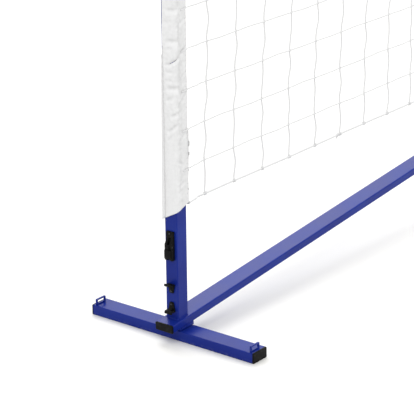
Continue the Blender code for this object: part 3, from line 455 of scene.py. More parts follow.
class Finish:
    """One material and the nodes that give it its grain."""

    def __init__(self, name, **whole):
        self.material = bpy.data.materials.new(name)
        self.material.use_nodes = True
        self.tree = self.material.node_tree
        self.shader = self.tree.nodes["Principled BSDF"]
        for key, value in whole.items():
            self.shader.inputs[SOCKETS[key]].default_value = value

    def node(self, kind, inputs=None, out=0, **settings):
        """Any node: its settings first, then the values or links of its sockets."""
        made = self.tree.nodes.new(kind)
        for key, setting in settings.items():
            setattr(made, key, setting)
        for key, value in (inputs or {}).items():
            self.feed(made.inputs[key], value)
        return Amount(self, made.outputs[out])

    def feed(self, socket, value):
        if isinstance(value, Amount):
            self.tree.links.new(value.socket, socket)
        else:
            socket.default_value = value

    def set(self, socket, value):
        self.feed(self.shader.inputs[socket], value)

    def maths(self, operation, first, second=0.0):
        return self.node("ShaderNodeMath", {0: first, 1: second}, operation=operation)

    def wave(self, value):
        return self.maths("SINE", value)

    def mix(self, share, first, second):
        return self.node("ShaderNodeMix", {0: share, 6: first, 7: second}, 2, data_type="RGBA")

    def here(self):
        return self.node("ShaderNodeTexCoord", out=3)

    def place(self, axis):
        """One coordinate of the place on the piece, in metres: 0 is x, 1 is y, 2 is z."""
        return self.node("ShaderNodeSeparateXYZ", {0: self.here()}, axis)

    def spread(self, axis):
        """One direction of the piece's own UV map: 0 is round it, 1 is along it."""
        uv = self.node("ShaderNodeTexCoord", out=2)
        return self.node("ShaderNodeSeparateXYZ", {0: uv}, axis)

    def grain(self, scale, detail=2.0):
        return self.node("ShaderNodeTexNoise", {"Vector": self.here(), "Scale": scale, "Detail": detail})

    def ramp(self, value, low, high):
        """0 below low, 1 above high, smooth between."""
        return self.node(
            "ShaderNodeMapRange", {0: value, 1: low, 2: high, 3: 0.0, 4: 1.0},
            interpolation_type="SMOOTHSTEP")

    def bump(self, height, depth, strength=1.0):
        self.set("Normal", self.node(
            "ShaderNodeBump", {"Height": height, "Distance": depth, "Strength": strength}))


def powder_coat():
    """Blue polyester powder coat: orange peel, a little colour drift and floor dust."""
    coat = Finish("blue_powder_coat", specular_ior_level=0.13)
    drift = coat.ramp(coat.grain(9.0, 3.0), 0.35, 0.7)
    peel = coat.grain(620.0, 1.5)
    speck = coat.ramp(coat.grain(1900.0, 1.0), 0.70, 0.78)
    low = 1 - coat.ramp(coat.place(2), 0.0005, 0.010)
    dust = low * coat.ramp(coat.grain(140.0, 4.0), 0.40, 0.75) * 0.22 + speck * 0.05
    coat.set("Base Color", coat.mix(dust, coat.mix(drift, COAT_BLUE, COAT_PALE), DUST))
    coat.set("Roughness", 0.28 + drift * 0.05 + dust * 0.5)
    coat.bump(peel + speck * 0.15, 0.00012, 0.35)
    return coat.material


def moulded_plastic():
    """Black moulded plastic with a spark-eroded grain, a little paler where it is rubbed."""
    plastic = Finish("black_moulded_plastic", specular_ior_level=0.09)
    grain = plastic.grain(2600.0)
    rubbed = plastic.ramp(plastic.grain(85.0, 4.0), 0.52, 0.72)
    plastic.set("Base Color", plastic.mix(rubbed * 0.5, PLASTIC_BLACK, PLASTIC_WORN))
    plastic.set("Roughness", 0.50 - rubbed * 0.12 + grain * 0.08)
    plastic.bump(grain, 0.00008, 0.45)
    return plastic.material


def zinc_plate():
    """Bright zinc with a cloudy bloom."""
    zinc = Finish("zinc_plate", metallic=1.0)
    cloud = zinc.ramp(zinc.grain(120.0, 5.0), 0.35, 0.7)
    zinc.set("Base Color", zinc.mix(cloud, ZINC, ZINC_DULL))
    zinc.set("Roughness", 0.24 + cloud * 0.16)
    zinc.bump(zinc.grain(1500.0), 0.00004, 0.4)
    return zinc.material


def black_zinc():
    """Black zinc of the screws and the lever's pin, duller in patches."""
    plate = Finish("black_zinc_plate", metallic=1.0)
    cloud = plate.ramp(plate.grain(300.0, 4.0), 0.4, 0.7)
    plate.set("Base Color", plate.mix(cloud * 0.4, BLACK_ZINC, ZINC_DULL))
    plate.set("Roughness", 0.34 + cloud * 0.14)
    plate.bump(plate.grain(2200.0), 0.00004, 0.4)
    return plate.material


def woven_cloth():
    """White plain-weave cloth: threads cross at one pitch of the piece's UV map, in metres."""
    cloth = Finish("white_woven_cloth", sheen_weight=0.25, sheen_roughness=0.5)
    turns = 2 * math.pi / WEAVE_PITCH
    # Painted shade in the gaps between the threads, along with the weave's bump
    weave = cloth.wave(cloth.spread(0) * turns) * cloth.wave(cloth.spread(1) * turns)
    threads = weave * 0.5 + 0.5
    slub = cloth.ramp(cloth.grain(210.0, 3.0), 0.35, 0.75)
    # Painted shade on the sleeve's near side, mottled
    near_side = cloth.ramp(cloth.place(1), -0.012, -0.024)
    near_side_shade = near_side * cloth.ramp(cloth.grain(60.0, 3.0), 0.15, 0.65)
    # fold brings in the cloth's own grey and wear together with its painted shade and painted light
    fold = cloth.node("ShaderNodeAttribute", out=2, attribute_name="fold")
    grey = (1 - threads) * 0.14 + slub * 0.08 + near_side_shade * 0.25 + fold * 0.90
    cloth.set("Base Color", cloth.mix(grey, CLOTH_WHITE, CLOTH_SHADE))
    cloth.set("Roughness", 0.78 + slub * 0.12)
    cloth.bump(threads + slub * 0.6, 0.00016, 0.5)
    return cloth.material


def braided_cord():
    """White braided cord: strands run both ways round it."""
    cord = Finish("white_braided_cord", sheen_weight=0.2, sheen_roughness=0.5)
    around = cord.spread(0) * (2 * math.pi * BRAID_STRANDS)
    run = cord.spread(1) * (2 * math.pi / STRAND_PITCH)
    strands = cord.wave(around + run) * cord.wave(around - run)
    fuzz = cord.grain(900.0, 3.0)
    shade = (1 - (strands * 0.5 + 0.5)) * 0.40 + fuzz * 0.10
    cord.set("Base Color", cord.mix(shade, CORD_WHITE, CORD_SHADE))
    cord.set("Roughness", 0.72 + fuzz * 0.15)
    cord.bump(strands * 0.5 + fuzz * 0.6, 0.00030, 0.6)
    return cord.material


def sewing_thread():
    """Grey twisted thread of the stitches and the lashings."""
    thread = Finish("grey_sewing_thread", roughness=0.7)
    twist = thread.wave(thread.spread(1) * (2 * math.pi / TWIST_PITCH) + thread.spread(0) * (2 * math.pi))
    thread.set("Base Color", thread.mix(twist * 0.25 + 0.7, CORD_WHITE, THREAD_GREY))
    thread.bump(twist, 0.00005, 0.5)
    return thread.material


COAT = powder_coat()
CLOTH = woven_cloth()
CORD = braided_cord()
THREAD = sewing_thread()
FINISHES = {
    "blue_paint": COAT, "black_plastic": moulded_plastic(), "zinc_steel": zinc_plate(),
    "dark_steel": black_zinc(), "white_cloth": CLOTH, "white_cord": CORD}
SLOTS = {part["node"]: part["material_slot"] for part in frame["record"]["subparts"]}
BODIES = {
    node: body for body, nodes in frame["record"]["behaviour"]["bodies"].items() for node in nodes}


def clamp(value):
    return min(max(value, 0.0), 1.0)


def smooth(value):
    """0 below 0, 1 above 1, smooth between."""
    value = clamp(value)
    return value * value * (3 - 2 * value)


def hump(distance, width):
    """1 at no distance, fading to nothing over a width or two."""
    return math.exp(-(distance / width) ** 2)


def uneven(run, rise, grain):
    """Smooth unevenness about zero, at its own rate each way over a surface."""
    run_rate, rise_rate, seed = grain
    return noise.noise(Vector((run * run_rate, rise * rise_rate, seed)))


def paces(start, end, step):
    """Places from start on, a step apart, that come before end."""
    place = start
    while place < end:
        yield place
        place += step


def new_piece(name, shape, finish, body):
    """A finished mesh from a bmesh, riding on its body."""
    bmesh.ops.recalc_face_normals(shape, faces=shape.faces[:])
    mesh = bpy.data.meshes.new(name)
    shape.to_mesh(mesh)
    shape.free()
    mesh.materials.append(finish)
    mesh.shade_smooth()
    made = bpy.data.objects.new(name, mesh)
    bpy.context.scene.collection.objects.link(made)
    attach(made, body)
    return made


def select_only(made):
    bpy.ops.object.select_all(action="DESELECT")
    bpy.context.view_layer.objects.active = made
    made.select_set(True)


def apply_all(made):
    """Bake every modifier of a piece into its mesh."""
    select_only(made)
    for modifier in list(made.modifiers):
        bpy.ops.object.modifier_apply(modifier=modifier.name)
    made.select_set(False)


def marked_face(shape, uv, corners):
    """A face from its corners, each a vertex and its place in the UV map."""
    face = shape.faces.new([vertex for vertex, _ in corners])
    for loop, (_, mark) in zip(face.loops, corners):
        loop[uv].uv = mark


def sweep(shape, path, radius, sides=STRING_SIDES, lobes=0, lay=0.0):
    """Skin of a cord along a path. Its UV map holds the turn round it and the metres along it."""
    uv = shape.loops.layers.uv.verify()
    points = [Vector(point) for point in path]
    run = [0.0]
    for before, after in zip(points, points[1:]):
        run.append(run[-1] + (after - before).length)
    side = None
    rings = []
    for index, point in enumerate(points):
        before = points[max(index - 1, 0)]
        after = points[min(index + 1, len(points) - 1)]
        heading = (after - before).normalized()
        if side is None:
            side = heading.orthogonal().normalized()
        side = (side - heading * side.dot(heading)).normalized()
        other = heading.cross(side)
        wide = radius[index] if isinstance(radius, list) else radius
        ring = []
        for step in range(sides):
            angle = 2 * math.pi * step / sides
            size = wide
            if lobes:
                twisted = angle - run[index] / lay * 2 * math.pi
                size *= 1 - STRAND_DIP + STRAND_DIP * abs(math.cos(lobes / 2 * twisted))
            ring.append(shape.verts.new(point + (side * math.cos(angle) + other * math.sin(angle)) * size))
        rings.append(ring)
    for index, (low, high) in enumerate(zip(rings, rings[1:])):
        start, end = run[index], run[index + 1]
        for step in range(sides):
            following = (step + 1) % sides
            turn, next_turn = step / sides, (step + 1) / sides
            marked_face(shape, uv, (
                (low[step], (turn, start)), (low[following], (next_turn, start)),
                (high[following], (next_turn, end)), (high[step], (turn, end))))
    shape.faces.new(rings[0][::-1])
    shape.faces.new(rings[-1])


def wrap(shape, place, reach, thickness, lay, climb=TURN_CLIMB, steps=16, sides=6):
    """One turn of cord round another, laid by a rotation from level."""
    path = []
    for step in range(steps + 1):
        angle = 2 * math.pi * step / steps
        around = Vector((math.cos(angle) * reach, math.sin(angle) * reach, climb * math.sin(angle / 2)))
        path.append(Vector(place) + lay @ around)
    sweep(shape, path, thickness, sides)


def column_place(index, height):
    """Place along the net of a column at a height: it leans, sways and has an unevenness of its own."""
    rows_up = (height - FIRST_ROW) / ROW_PITCH
    lean = COLUMN_LEAN * rows_up - COLUMN_DRIFT * (index + 1)
    short = SHORT_WAVE * math.sin(2 * math.pi * rows_up + SHORT_WAVE_START)
    long = LONG_WAVE * math.sin(LONG_WAVE_RATE * rows_up + LONG_WAVE_START - LONG_WAVE_STEP * index)
    between_rows = math.sin(math.pi * rows_up) ** 2
    own = OWN_WAVE * math.sin(OWN_WAVE_RATE * rows_up + OWN_WAVE_STEP * index) * between_rows
    pulled = TOP_PULL * max(rows_up - 1.0, 0.0) / (1 + TOP_PULL_FADE * index)
    return FIRST_COLUMN + COLUMN_PITCH * index + (lean + short + long + own + pulled)


def row_dip(index, x):
    """Small rise and fall of a row string between its knots."""
    span = (x - FIRST_COLUMN) / COLUMN_PITCH
    own = math.sin(ROW_DIP_ROW * index + ROW_DIP_SPAN * math.floor(span))
    return ROW_DIP * math.sin(math.pi * span) ** 2 * own


def rope_height(x):
    return NET_LOW + ROPE_SAG * math.sin(ROPE_SAG_RATE * x)


def rope_tie(shape, x, turns):
    """Turns of string round the bottom rope, where a column is tied to it."""
    lay = Matrix.Rotation(math.pi / 2 + TIE_SLANT, 3, "Y")
    for turn in range(turns):
        place = x + TIE_PITCH * (turn - (turns - 1) / 2)
        wrap(shape, (place, 0, rope_height(place)), ROPE_RADIUS + TIE_CLEAR, TIE_CORD, lay)


def row_path(row, height):
    """One row string: wrapped round the sleeve's corner, then level from knot to knot."""
    on_cloth = CLOTH_NEAR - CLOTH_WALL / 2 - STRING_RADIUS - ON_CLOTH
    path = [(x, on_cloth + away, height + rise) for x, away, rise in ROW_TIE]
    path += [(x, y, height + rise) for x, y, rise in ROW_LEAD]
    for x in paces(FIRST_COLUMN - ROW_START, NET_END + ROW_TUCK, ROW_STEP):
        path.append((x, ROW_SWAY * math.sin(ROW_SWAY_RATE * x + row), height + row_dip(row, x)))
    return path


def column_path(column):
    """One column string, from the bottom rope up into the headband."""
    path = []
    for height in paces(NET_LOW, NET_HIGH - BAND_DEPTH + STRING_TUCK, COLUMN_STEP):
        across = COLUMN_BULGE * math.sin(COLUMN_BULGE_RATE * height + column) + COLUMN_FRONT
        path.append((column_place(column, height), across, height))
    return path


def net_strings():
    """Rows and columns of the net, knotted at each crossing and tied to the bottom rope."""
    shape = bmesh.new()
    heights = [FIRST_ROW + ROW_PITCH * row for row in range(ROW_COUNT)]
    for row, height in enumerate(heights):
        sweep(shape, row_path(row, height), STRING_RADIUS)
    for column in range(COLUMN_COUNT):
        sweep(shape, column_path(column), STRING_RADIUS)
        for height in heights:
            tilt = wander.uniform(-KNOT_UNEVEN, KNOT_UNEVEN)
            for lean in (KNOT_LEAN, -KNOT_LEAN):
                wrap(
                    shape, (column_place(column, height), KNOT_DEPTH, height), KNOT_REACH, KNOT_CORD,
                    Matrix.Rotation(lean + tilt, 3, "Y"), climb=0.0, steps=8, sides=5)
        rope_tie(shape, column_place(column, NET_LOW), COLUMN_TIE_TURNS)
    rope_tie(shape, TAIL_RUN, TAIL_TIE_TURNS)
    sweep(shape, [(TAIL_RUN + x, y, NET_LOW + z) for x, y, z in TAIL], TAIL_RADIUS)
    strings = new_piece("net_strings", shape, CORD, "frame")
    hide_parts("net_mesh")


def bottom_rope():
    """Three-strand rope under the net, from its knot at the sleeve to the net's far edge."""
    path = [ROPE_START]
    path += [(x, y, NET_LOW + rise) for x, y, rise in ROPE_LEAD]
    for x in paces(ROPE_STRAIGHT, NET_END, ROPE_STEP):
        path.append((x, ROPE_SWAY * math.sin(ROPE_SWAY_RATE * x), rope_height(x)))
    path.append((NET_END - ROPE_END_GAP, 0, NET_LOW))
    shape = bmesh.new()
    sweep(shape, path, ROPE_RADIUS, ROPE_SIDES, ROPE_STRANDS, ROPE_LAY)
    rope = new_piece("net_bottom_rope", shape, CORD, "frame")
    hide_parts("net_bottom_cord")


def side_cord():
    """Cord down the lower corner of the sleeve, its ties, and the knot that takes the bottom rope."""
    route = [Vector(point) for point in SIDE_CORD]
    path = []
    for start, end in zip(route, route[1:]):
        for step in range(SIDE_CORD_STEPS):
            point = start.lerp(end, step / SIDE_CORD_STEPS)
            point.x += SIDE_CORD_SWAY * math.sin(SIDE_CORD_RATE * point.z)
            path.append(point)
    path.append(route[-1])
    shape = bmesh.new()
    sweep(shape, path, SIDE_CORD_RADIUS, SIDE_CORD_SIDES, ROPE_STRANDS, SIDE_CORD_LAY)
    new_piece("net_side_cord", shape, CORD, "frame")
    shape = bmesh.new()
    for low, turns in SIDE_TIES:
        for turn in range(turns):
            height = low + SIDE_TIE_PITCH * turn
            wrap(
                shape, place_on(path, height), SIDE_TIE_REACH, SIDE_TIE_CORD,
                Matrix.Rotation(SIDE_TIE_SLANT, 3, "X"))
    x, y, z = ROPE_START
    for turn in range(-(ROPE_KNOT_TURNS // 2), ROPE_KNOT_TURNS // 2 + 1):
        wrap(
            shape, (x, y, z + ROPE_KNOT_PITCH * turn), ROPE_KNOT_REACH, ROPE_KNOT_CORD,
            Matrix.Rotation(ROPE_KNOT_SLANT * turn, 3, "X"))
    new_piece("net_side_lashing", shape, THREAD, "frame")


def place_on(path, height):
    """The point at a height of a path that goes down."""
    for start, end in zip(path, path[1:]):
        if end.z <= height <= start.z:
            return end.lerp(start, (height - end.z) / (start.z - end.z))
    return path[0]


def crease_depth(around, height):
    """How far the cloth is pushed in at a place: each crease is a valley over a soft roll of cloth."""
    depth = 0.0
    for start, low, end, high, half, deep in CREASES:
        if abs(height - (low + high) / 2) > CREASE_SPAN:
            continue
        run, rise = end - start, high - low
        share = clamp(((around - start) * run + (height - low) * rise) / (run * run + rise * rise))
        beside, above = around - start - share * run, height - low - share * rise
        valley = hump(math.hypot(beside, above), half)
        roll = hump(math.hypot(beside, above + ROLL_DROP * half), ROLL_WIDTH * half)
        fade = CREASE_ENDS + CREASE_MIDDLE * math.sin(math.pi * share)
        depth += CREASE_GAIN * deep * fade * (valley - ROLL_SHARE * roll)
    return depth


def cloth_grey_and_painted_light(around, height):
    """How grey the cloth is at a place: its own grey and wear, with painted shade above its creases, along
    the seam, down the near corner and on the near side, and painted light on the rolls below the creases.
    """
    # Painted shade just above each crease, and painted light on the roll of cloth below it
    above = clamp(crease_depth(around, height - CREASE_SHADE_RISE) / CREASE_SHADE_RISE)
    roll_light = smooth(-crease_depth(around, height - ROLL_PALE) / ROLL_PALE)
    # Painted shade along the seam's valley beside the flap
    sewn = PAINTED_SHADE_SEAM * hump(around - SEAM_LINE, SEAM_SOFT) if height < FLAP_TOP else 0.0
    upper = smooth((height - WEAR_AND_SHADE_UPPER_START) / WEAR_AND_SHADE_UPPER_SOFT)
    # Painted shade down the near corner, mottled and stronger higher up; worn is the cloth's own random
    # wear
    corner_shade = PAINTED_SHADE_CORNER + PAINTED_SHADE_CORNER_UPPER * upper + PAINTED_SHADE_CORNER_MOTTLE * uneven(around, height, MOTTLE_GRAIN)
    corner = corner_shade * hump(around - CORNER_RUN, PAINTED_SHADE_CORNER_SPREAD)
    worn = (SOIL_WORN + SOIL_WORN_UPPER * upper) * uneven(around, height, WORN_GRAIN)
    # Painted shade on the near side of the sleeve
    near_side = smooth((around - NEAR_SIDE_START) / NEAR_SIDE_SOFT)
    near_side = PAINTED_SHADE_NEAR_SIDE * near_side * smooth((NEAR_SIDE_END - around) / NEAR_SIDE_SOFT)
    return clamp(SOIL + near_side + PAINTED_SHADE_CREASE * above + sewn + corner + worn - PAINTED_LIGHT_ROLL * roll_light)


def mouth_height(run):
    """Height of the gaping crease at a place round the sleeve."""
    for (start, low), (end, high) in zip(MOUTH, MOUTH[1:]):
        if run <= end:
            return low + (high - low) * (run - start) / (end - start)
    return MOUTH[-1][1]


def hem_height(x, y):
    """Height of the sleeve's hem at a place round the post: lowest at the far outer corner."""
    inward = min(max(x - CLOTH_LEFT, 0.0), CLOTH_RIGHT - CLOTH_LEFT)
    nearer = min(max(CLOTH_FAR - y, 0.0), CLOTH_FAR - CLOTH_NEAR)
    near_share = nearer / (CLOTH_FAR - CLOTH_NEAR)
    return HEM_LOW + HEM_CLIMB_NEAR * nearer + inward * (HEM_CLIMB_NET - HEM_TWIST * near_share)


class SleeveShape:
    """Where each point of the sleeve's one sheet lies, by its level and its step round the post."""

    def __init__(self):
        self.outline = self.round_post()
        self.runs = [0.0]
        for (before, _), (after, _) in zip(self.outline, self.outline[1:]):
            self.runs.append(self.runs[-1] + (after - before).length)
        self.whole = self.runs[-1]
        self.steps = range(-FLAP_STEPS, CLOTH_COLUMNS + FLAP_STEPS + 1)
        mouth_share = (MOUTH[1][1] - HEM_LOW - HEM_RISE) / (NET_HIGH - HEM_LOW - HEM_RISE)
        self.mouth_level = round((CLOTH_LEVELS - 1) * mouth_share)
        self.mouth_from = {step: self.guide(self.mouth_level, step)[3] for step in self.steps}

    def round_post(self):
        """Middle line of the cloth in plan, from the seam and back to it, with the outside's headings."""
        seam = Vector((CLOTH_LEFT, CLOTH_FAR - SEAM_INSET))
        corners = (
            (CLOTH_LEFT, CLOTH_NEAR, 1, 1, math.pi, CORNER_OUTER_NEAR),
            (CLOTH_RIGHT, CLOTH_NEAR, -1, 1, 1.5 * math.pi, CORNER_NET),
            (CLOTH_RIGHT, CLOTH_FAR, -1, -1, 0.0, CORNER_NET),
            (CLOTH_LEFT, CLOTH_FAR, 1, -1, 0.5 * math.pi, CORNER_OUTER_FAR))
        outward = Vector((-1, 0))
        points = [(seam, outward)]
        for x, y, inward_x, inward_y, start, radius in corners:
            centre = Vector((x + inward_x * radius, y + inward_y * radius))
            for step in range(CORNER_STEPS + 1):
                angle = start + math.pi / 2 * step / CORNER_STEPS
                away = Vector((math.cos(angle), math.sin(angle)))
                points.append((centre + away * radius, away))
        points.append((seam, outward))
        return points

    def at(self, run):
        """The place at a run round the post, and the heading of the outside there."""
        index = 1
        while index < len(self.runs) - 1 and self.runs[index] < run:
            index += 1
        before, after = self.runs[index - 1], self.runs[index]
        share = (run - before) / max(after - before, 1e-9)
        (place, away), (next_place, next_away) = self.outline[index - 1], self.outline[index]
        return place.lerp(next_place, share), away.lerp(next_away, clamp(share)).normalized()

    def past_edge(self, side, seam_run, edge_run, free, flap, out):
        """A point past one edge: in the flap below the slit, in a narrow hem above it."""
        sewn, _ = self.at(seam_run)
        sewn = sewn + Vector((-flap * out, side * FLAP_GAP))
        loose, away = self.at(edge_run + side * EDGE_HEM * out)
        place = sewn.lerp(loose + away * EDGE_LIFT * out, free)
        away = Vector((0, side)).lerp(away, free).normalized()
        return place, away, edge_run + side * flap * out

    def guide(self, level, step):
        """Plan place, heading of the outside, run round the post and height, before any crease."""
        share = level / (CLOTH_LEVELS - 1)
        height = HEM_GUIDE + (NET_HIGH - HEM_GUIDE) * share
        flap = FLAP_REACH * clamp((FLAP_TOP - height) / (FLAP_TOP - HEM_LOW)) ** 0.5
        first_free = smooth((height - SEAM_TOP - NEAR_EDGE_DELAY) / NEAR_EDGE_LIFT)
        first = first_free * (EDGE_HEM + NEAR_EDGE_PULL + NEAR_EDGE_SPREAD * (height - NEAR_EDGE_MIDDLE))
        last_free = smooth((height - SEAM_TOP) / SLIT_LIFT)
        opening = max(0.0, height - SEAM_TOP) / (NET_HIGH - SEAM_TOP)
        last = self.whole - last_free * (SLIT_PULL + SLIT_REACH * opening)
        if step < 0:
            out = -step / FLAP_STEPS
            place, away, run = self.past_edge(-1, 0.0, first, first_free, flap, out)
        elif step > CLOTH_COLUMNS:
            out = (step - CLOTH_COLUMNS) / FLAP_STEPS
            place, away, run = self.past_edge(1, self.whole, last, last_free, flap, out)
        else:
            run = first + (last - first) * step / CLOTH_COLUMNS
            place, away = self.at(run)
            if step == 0:
                place = place + Vector((0, -FLAP_GAP * (1 - first_free)))
            if step == CLOTH_COLUMNS:
                place = place + Vector((0, FLAP_GAP * (1 - last_free)))
        bottom = hem_height(place.x, place.y)
        return place, away, run, bottom + (NET_HIGH - TOP_CLEAR - bottom) * share

    def finished(self, level, step, lip):
        """A point of the creased sheet and its place in the UV map; a lip is raised or lowered."""
        place, away, run, z = self.guide(level, step)
        mouth_from = self.mouth_from[step]
        z += (mouth_height(run) - mouth_from) * hump(z - mouth_from, MOUTH_SOFT)
        inside = clamp(run / EDGE_CALM) * clamp((self.whole - run) / EDGE_CALM)
        inside *= min(level / CALM_LEVELS, 1.0)
        loose = LOOSE * uneven(run, z, LOOSE_GRAIN)
        upper = smooth((z - UPPER_START) / UPPER_SOFT)
        corner = hump(run - CORNER_RUN, CORNER_SPREAD)
        fine = (FINE + FINE_UPPER * upper + FINE_CORNER * corner) * uneven(run, z, FINE_GRAIN)
        push = (loose + fine - crease_depth(run, z)) * inside
        push += HEM_THICK * smooth((hem_height(place.x, place.y) + HEM_DEPTH - z) / HEM_STEP)
        push = min(max(push, PUSH_IN), PUSH_OUT)
        along = clamp((run - MOUTH_START) / (MOUTH_END - MOUTH_START))
        z += lip * MOUTH_HALF * math.sqrt(max(math.sin(math.pi * along), 0.0))
        return (place.x + away.x * push, place.y + away.y * push, z), (run, z)


def sleeve():
    """The net's cloth sleeve: one sheet round the post, its two edges sewn into a flap below the slit."""
    sheet = SleeveShape()
    shape = bmesh.new()
    uv = shape.loops.layers.uv.verify()
    fold = shape.verts.layers.float.new("fold")
    grid = []
    for level in range(CLOTH_LEVELS):
        row = []
        for step in sheet.steps:
            gapes = level == sheet.mouth_level and MOUTH_START < sheet.guide(level, step)[2] < MOUTH_END
            pair = []
            for lip in ((-1, 1) if gapes else (0,)):
                spot, mark = sheet.finished(level, step, lip)
                vertex = shape.verts.new(spot)
                # The fold attribute holds the cloth's own grey and wear together with painted shade and
                # painted light
                vertex[fold] = cloth_grey_and_painted_light(*mark)
                pair.append((vertex, mark))
            row.append((pair[0], pair[-1]))
        grid.append(row)
    for below, above in zip(grid, grid[1:]):
        for step in range(len(below) - 1):
            marked_face(shape, uv, (below[step][1], below[step + 1][1], above[step + 1][0], above[step][0]))
    cloth = new_piece("sleeve_cloth", shape, CLOTH, "frame")
    wall = cloth.modifiers.new("wall", "SOLIDIFY")
    wall.thickness = CLOTH_WALL
    wall.offset = 0.0
    apply_all(cloth)
    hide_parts("net_sleeve")
    return cloth, sheet.whole


def stitch(shape, start, end, away, radius=STITCH_RADIUS):
    """One sewn stitch: a short thread that rises from the cloth and dips back in."""
    start, end, away = Vector(start), Vector(end), Vector(away).normalized()
    path = []
    for step in range(STITCH_STEPS + 1):
        share = step / STITCH_STEPS
        lift = math.sin(math.pi * share) * STITCH_RISE
        path.append(start.lerp(end, share) + away * (lift - STITCH_SUNK))
    sweep(shape, path, radius, STITCH_SIDES)


def band(name, low, high, half, sewing, grain):
    """A flat folded band of cloth between two corners, its faces soft and its rims rounded."""
    shape = bmesh.new()
    uv = shape.loops.layers.uv.verify()
    fold = shape.verts.layers.float.new("fold")
    width, tall = high[0] - low[0], high[1] - low[1]
    level = width > tall
    length, deep = (width, tall) if level else (tall, width)
    section = [(BAND_RIM * inset, half * share) for inset, share in RIM_PROFILE]
    for row in range(BAND_ROWS + 1):
        section.append((BAND_RIM + (deep - 2 * BAND_RIM) * row / BAND_ROWS, half))
    section += [(deep - BAND_RIM * inset, half * share) for inset, share in reversed(RIM_PROFILE)]
    section += [(across, -thick) for across, thick in reversed(section)]
    count = round(length / BAND_STEP)
    rings = []
    for index in range(count + 1):
        run = length * index / count
        ring = []
        for across, thick in section:
            pinch = min(sum(hump(across - line, PINCH_WIDTH) for line in sewing), 1.0)
            soft = 1 + BAND_SOFT * uneven(run, across, BAND_SOFT_GRAIN)
            y = BAND_WAVE * uneven(run, across, grain) + thick * (1 - BAND_PINCH * pinch) * soft
            x, z = (run, across) if level else (across, run)
            vertex = shape.verts.new((low[0] + x, y, low[1] + z))
            # The band's grey: its own grey and random mottle, with painted shade along the pinched stitch
            # lines
            mottle = SOIL_BAND_MOTTLE * uneven(run, across, BAND_SOIL_GRAIN)
            vertex[fold] = SOIL_BAND + PAINTED_SHADE_BAND_PINCH * pinch + mottle
            ring.append((vertex, (across, run)))
        rings.append(ring)
    for first, second in zip(rings, rings[1:]):
        for here in range(len(first)):
            there = (here + 1) % len(first)
            marked_face(shape, uv, (first[here], first[there], second[there], second[here]))
    for ring in (rings[0], rings[-1]):
        shape.faces.new([vertex for vertex, _ in ring])
    return new_piece(name, shape, CLOTH, "frame")


def headband_and_side():
    """Headband over the top cord and the band that ends the net, each with two rows of stitching."""
    bottom = NET_HIGH - BAND_DEPTH
    end = NET_END + BAND_WIDTH
    head = band(
        "headband_cloth", (NET_START, bottom), (end, NET_HIGH), HEADBAND_HALF,
        (HEADBAND_SEWN_LOW, BAND_DEPTH - HEADBAND_SEWN_HIGH), HEADBAND_GRAIN)
    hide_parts("net_headband")
    edge = band(
        "side_band_cloth", (NET_END, NET_LOW - ROPE_RADIUS), (end, bottom - BAND_GAP), SIDE_BAND_HALF,
        (SIDE_BAND_SEWN, BAND_WIDTH - SIDE_BAND_SEWN), SIDE_BAND_GRAIN)
    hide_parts("net_side_band")
    shape = bmesh.new()
    for z in (bottom + HEADBAND_SEWN_LOW, NET_HIGH - HEADBAND_SEWN_HIGH):
        for x in paces(NET_START + BAND_STITCH_INSET, end - BAND_STITCH_INSET, BAND_STITCH_PITCH):
            for side in (-1, 1):
                y = side * HEADBAND_STITCH_OUT
                stitch(shape, (x, y, z), (x + BAND_STITCH, y, z), (0, side, 0))
    for x in (NET_END + SIDE_BAND_SEWN, end - SIDE_BAND_SEWN):
        for z in paces(NET_LOW + SIDE_STITCH_INSET, bottom - BAND_STITCH_INSET, BAND_STITCH_PITCH):
            for side in (-1, 1):
                y = side * SIDE_STITCH_OUT
                stitch(shape, (x, y, z), (x, y, z + BAND_STITCH), (0, side, 0))
    new_piece("band_stitches", shape, THREAD, "frame")


def sleeve_stitches():
    """Stitching of the flap, and the lacing down the net's side."""
    shape = bmesh.new()
    x = CLOTH_LEFT - FLAP_STITCH_INSET
    for z in paces(HEM_GUIDE, SEAM_TOP - STITCHES_SHORT, FLAP_STITCH_PITCH):
        for side in (-1, 1):
            y = CLOTH_FAR - SEAM_INSET + side * (FLAP_GAP + CLOTH_WALL / 2)
            stitch(shape, (x, y, z), (x, y, z + FLAP_STITCH), (0, side, 0))
    y = CLOTH_NEAR - CLOTH_WALL / 2
    for z in paces(LACE_START, NET_HIGH - STITCHES_SHORT, LACE_PITCH):
        tilt = wander.uniform(-LACE_UNEVEN, LACE_UNEVEN)
        end = (LACE_END[0], y + LACE_END[1], z + LACE_END[2] + tilt)
        stitch(shape, (LACE_IN, y, z), end, LACE_OUTSIDE, LACE_RADIUS)
    new_piece("sleeve_stitches", shape, THREAD, "frame")


def eased(node, width):
    """A CAD piece with its sharp edges broken, for light to catch, in the same finish."""
    mesh = frame["nodes"][node].data.copy()
    shape = bmesh.new()
    shape.from_mesh(mesh)
    bmesh.ops.remove_doubles(shape, verts=shape.verts[:], dist=SAME_PLACE)
    bmesh.ops.dissolve_limit(shape, angle_limit=FLAT_ANGLE, verts=shape.verts[:], edges=shape.edges[:])
    shape.to_mesh(mesh)
    shape.free()
    mesh.materials.clear()
    mesh.materials.append(FINISHES[SLOTS[node]])
    made = bpy.data.objects.new(node + "_eased", mesh)
    bpy.context.scene.collection.objects.link(made)
    round_off = made.modifiers.new("round_off", "BEVEL")
    round_off.width = width
    round_off.segments = EDGE_STEPS
    round_off.limit_method = "ANGLE"
    round_off.angle_limit = EDGE_ANGLE
    apply_all(made)
    select_only(made)
    bpy.ops.object.shade_smooth_by_angle(angle=SMOOTH_ANGLE)
    made.select_set(False)
    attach(made, BODIES[node])
    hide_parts(node)
    return made


def spring_clip(clip):
    """The snap button's bent clip, with a mesh of its own."""
    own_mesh(clip)


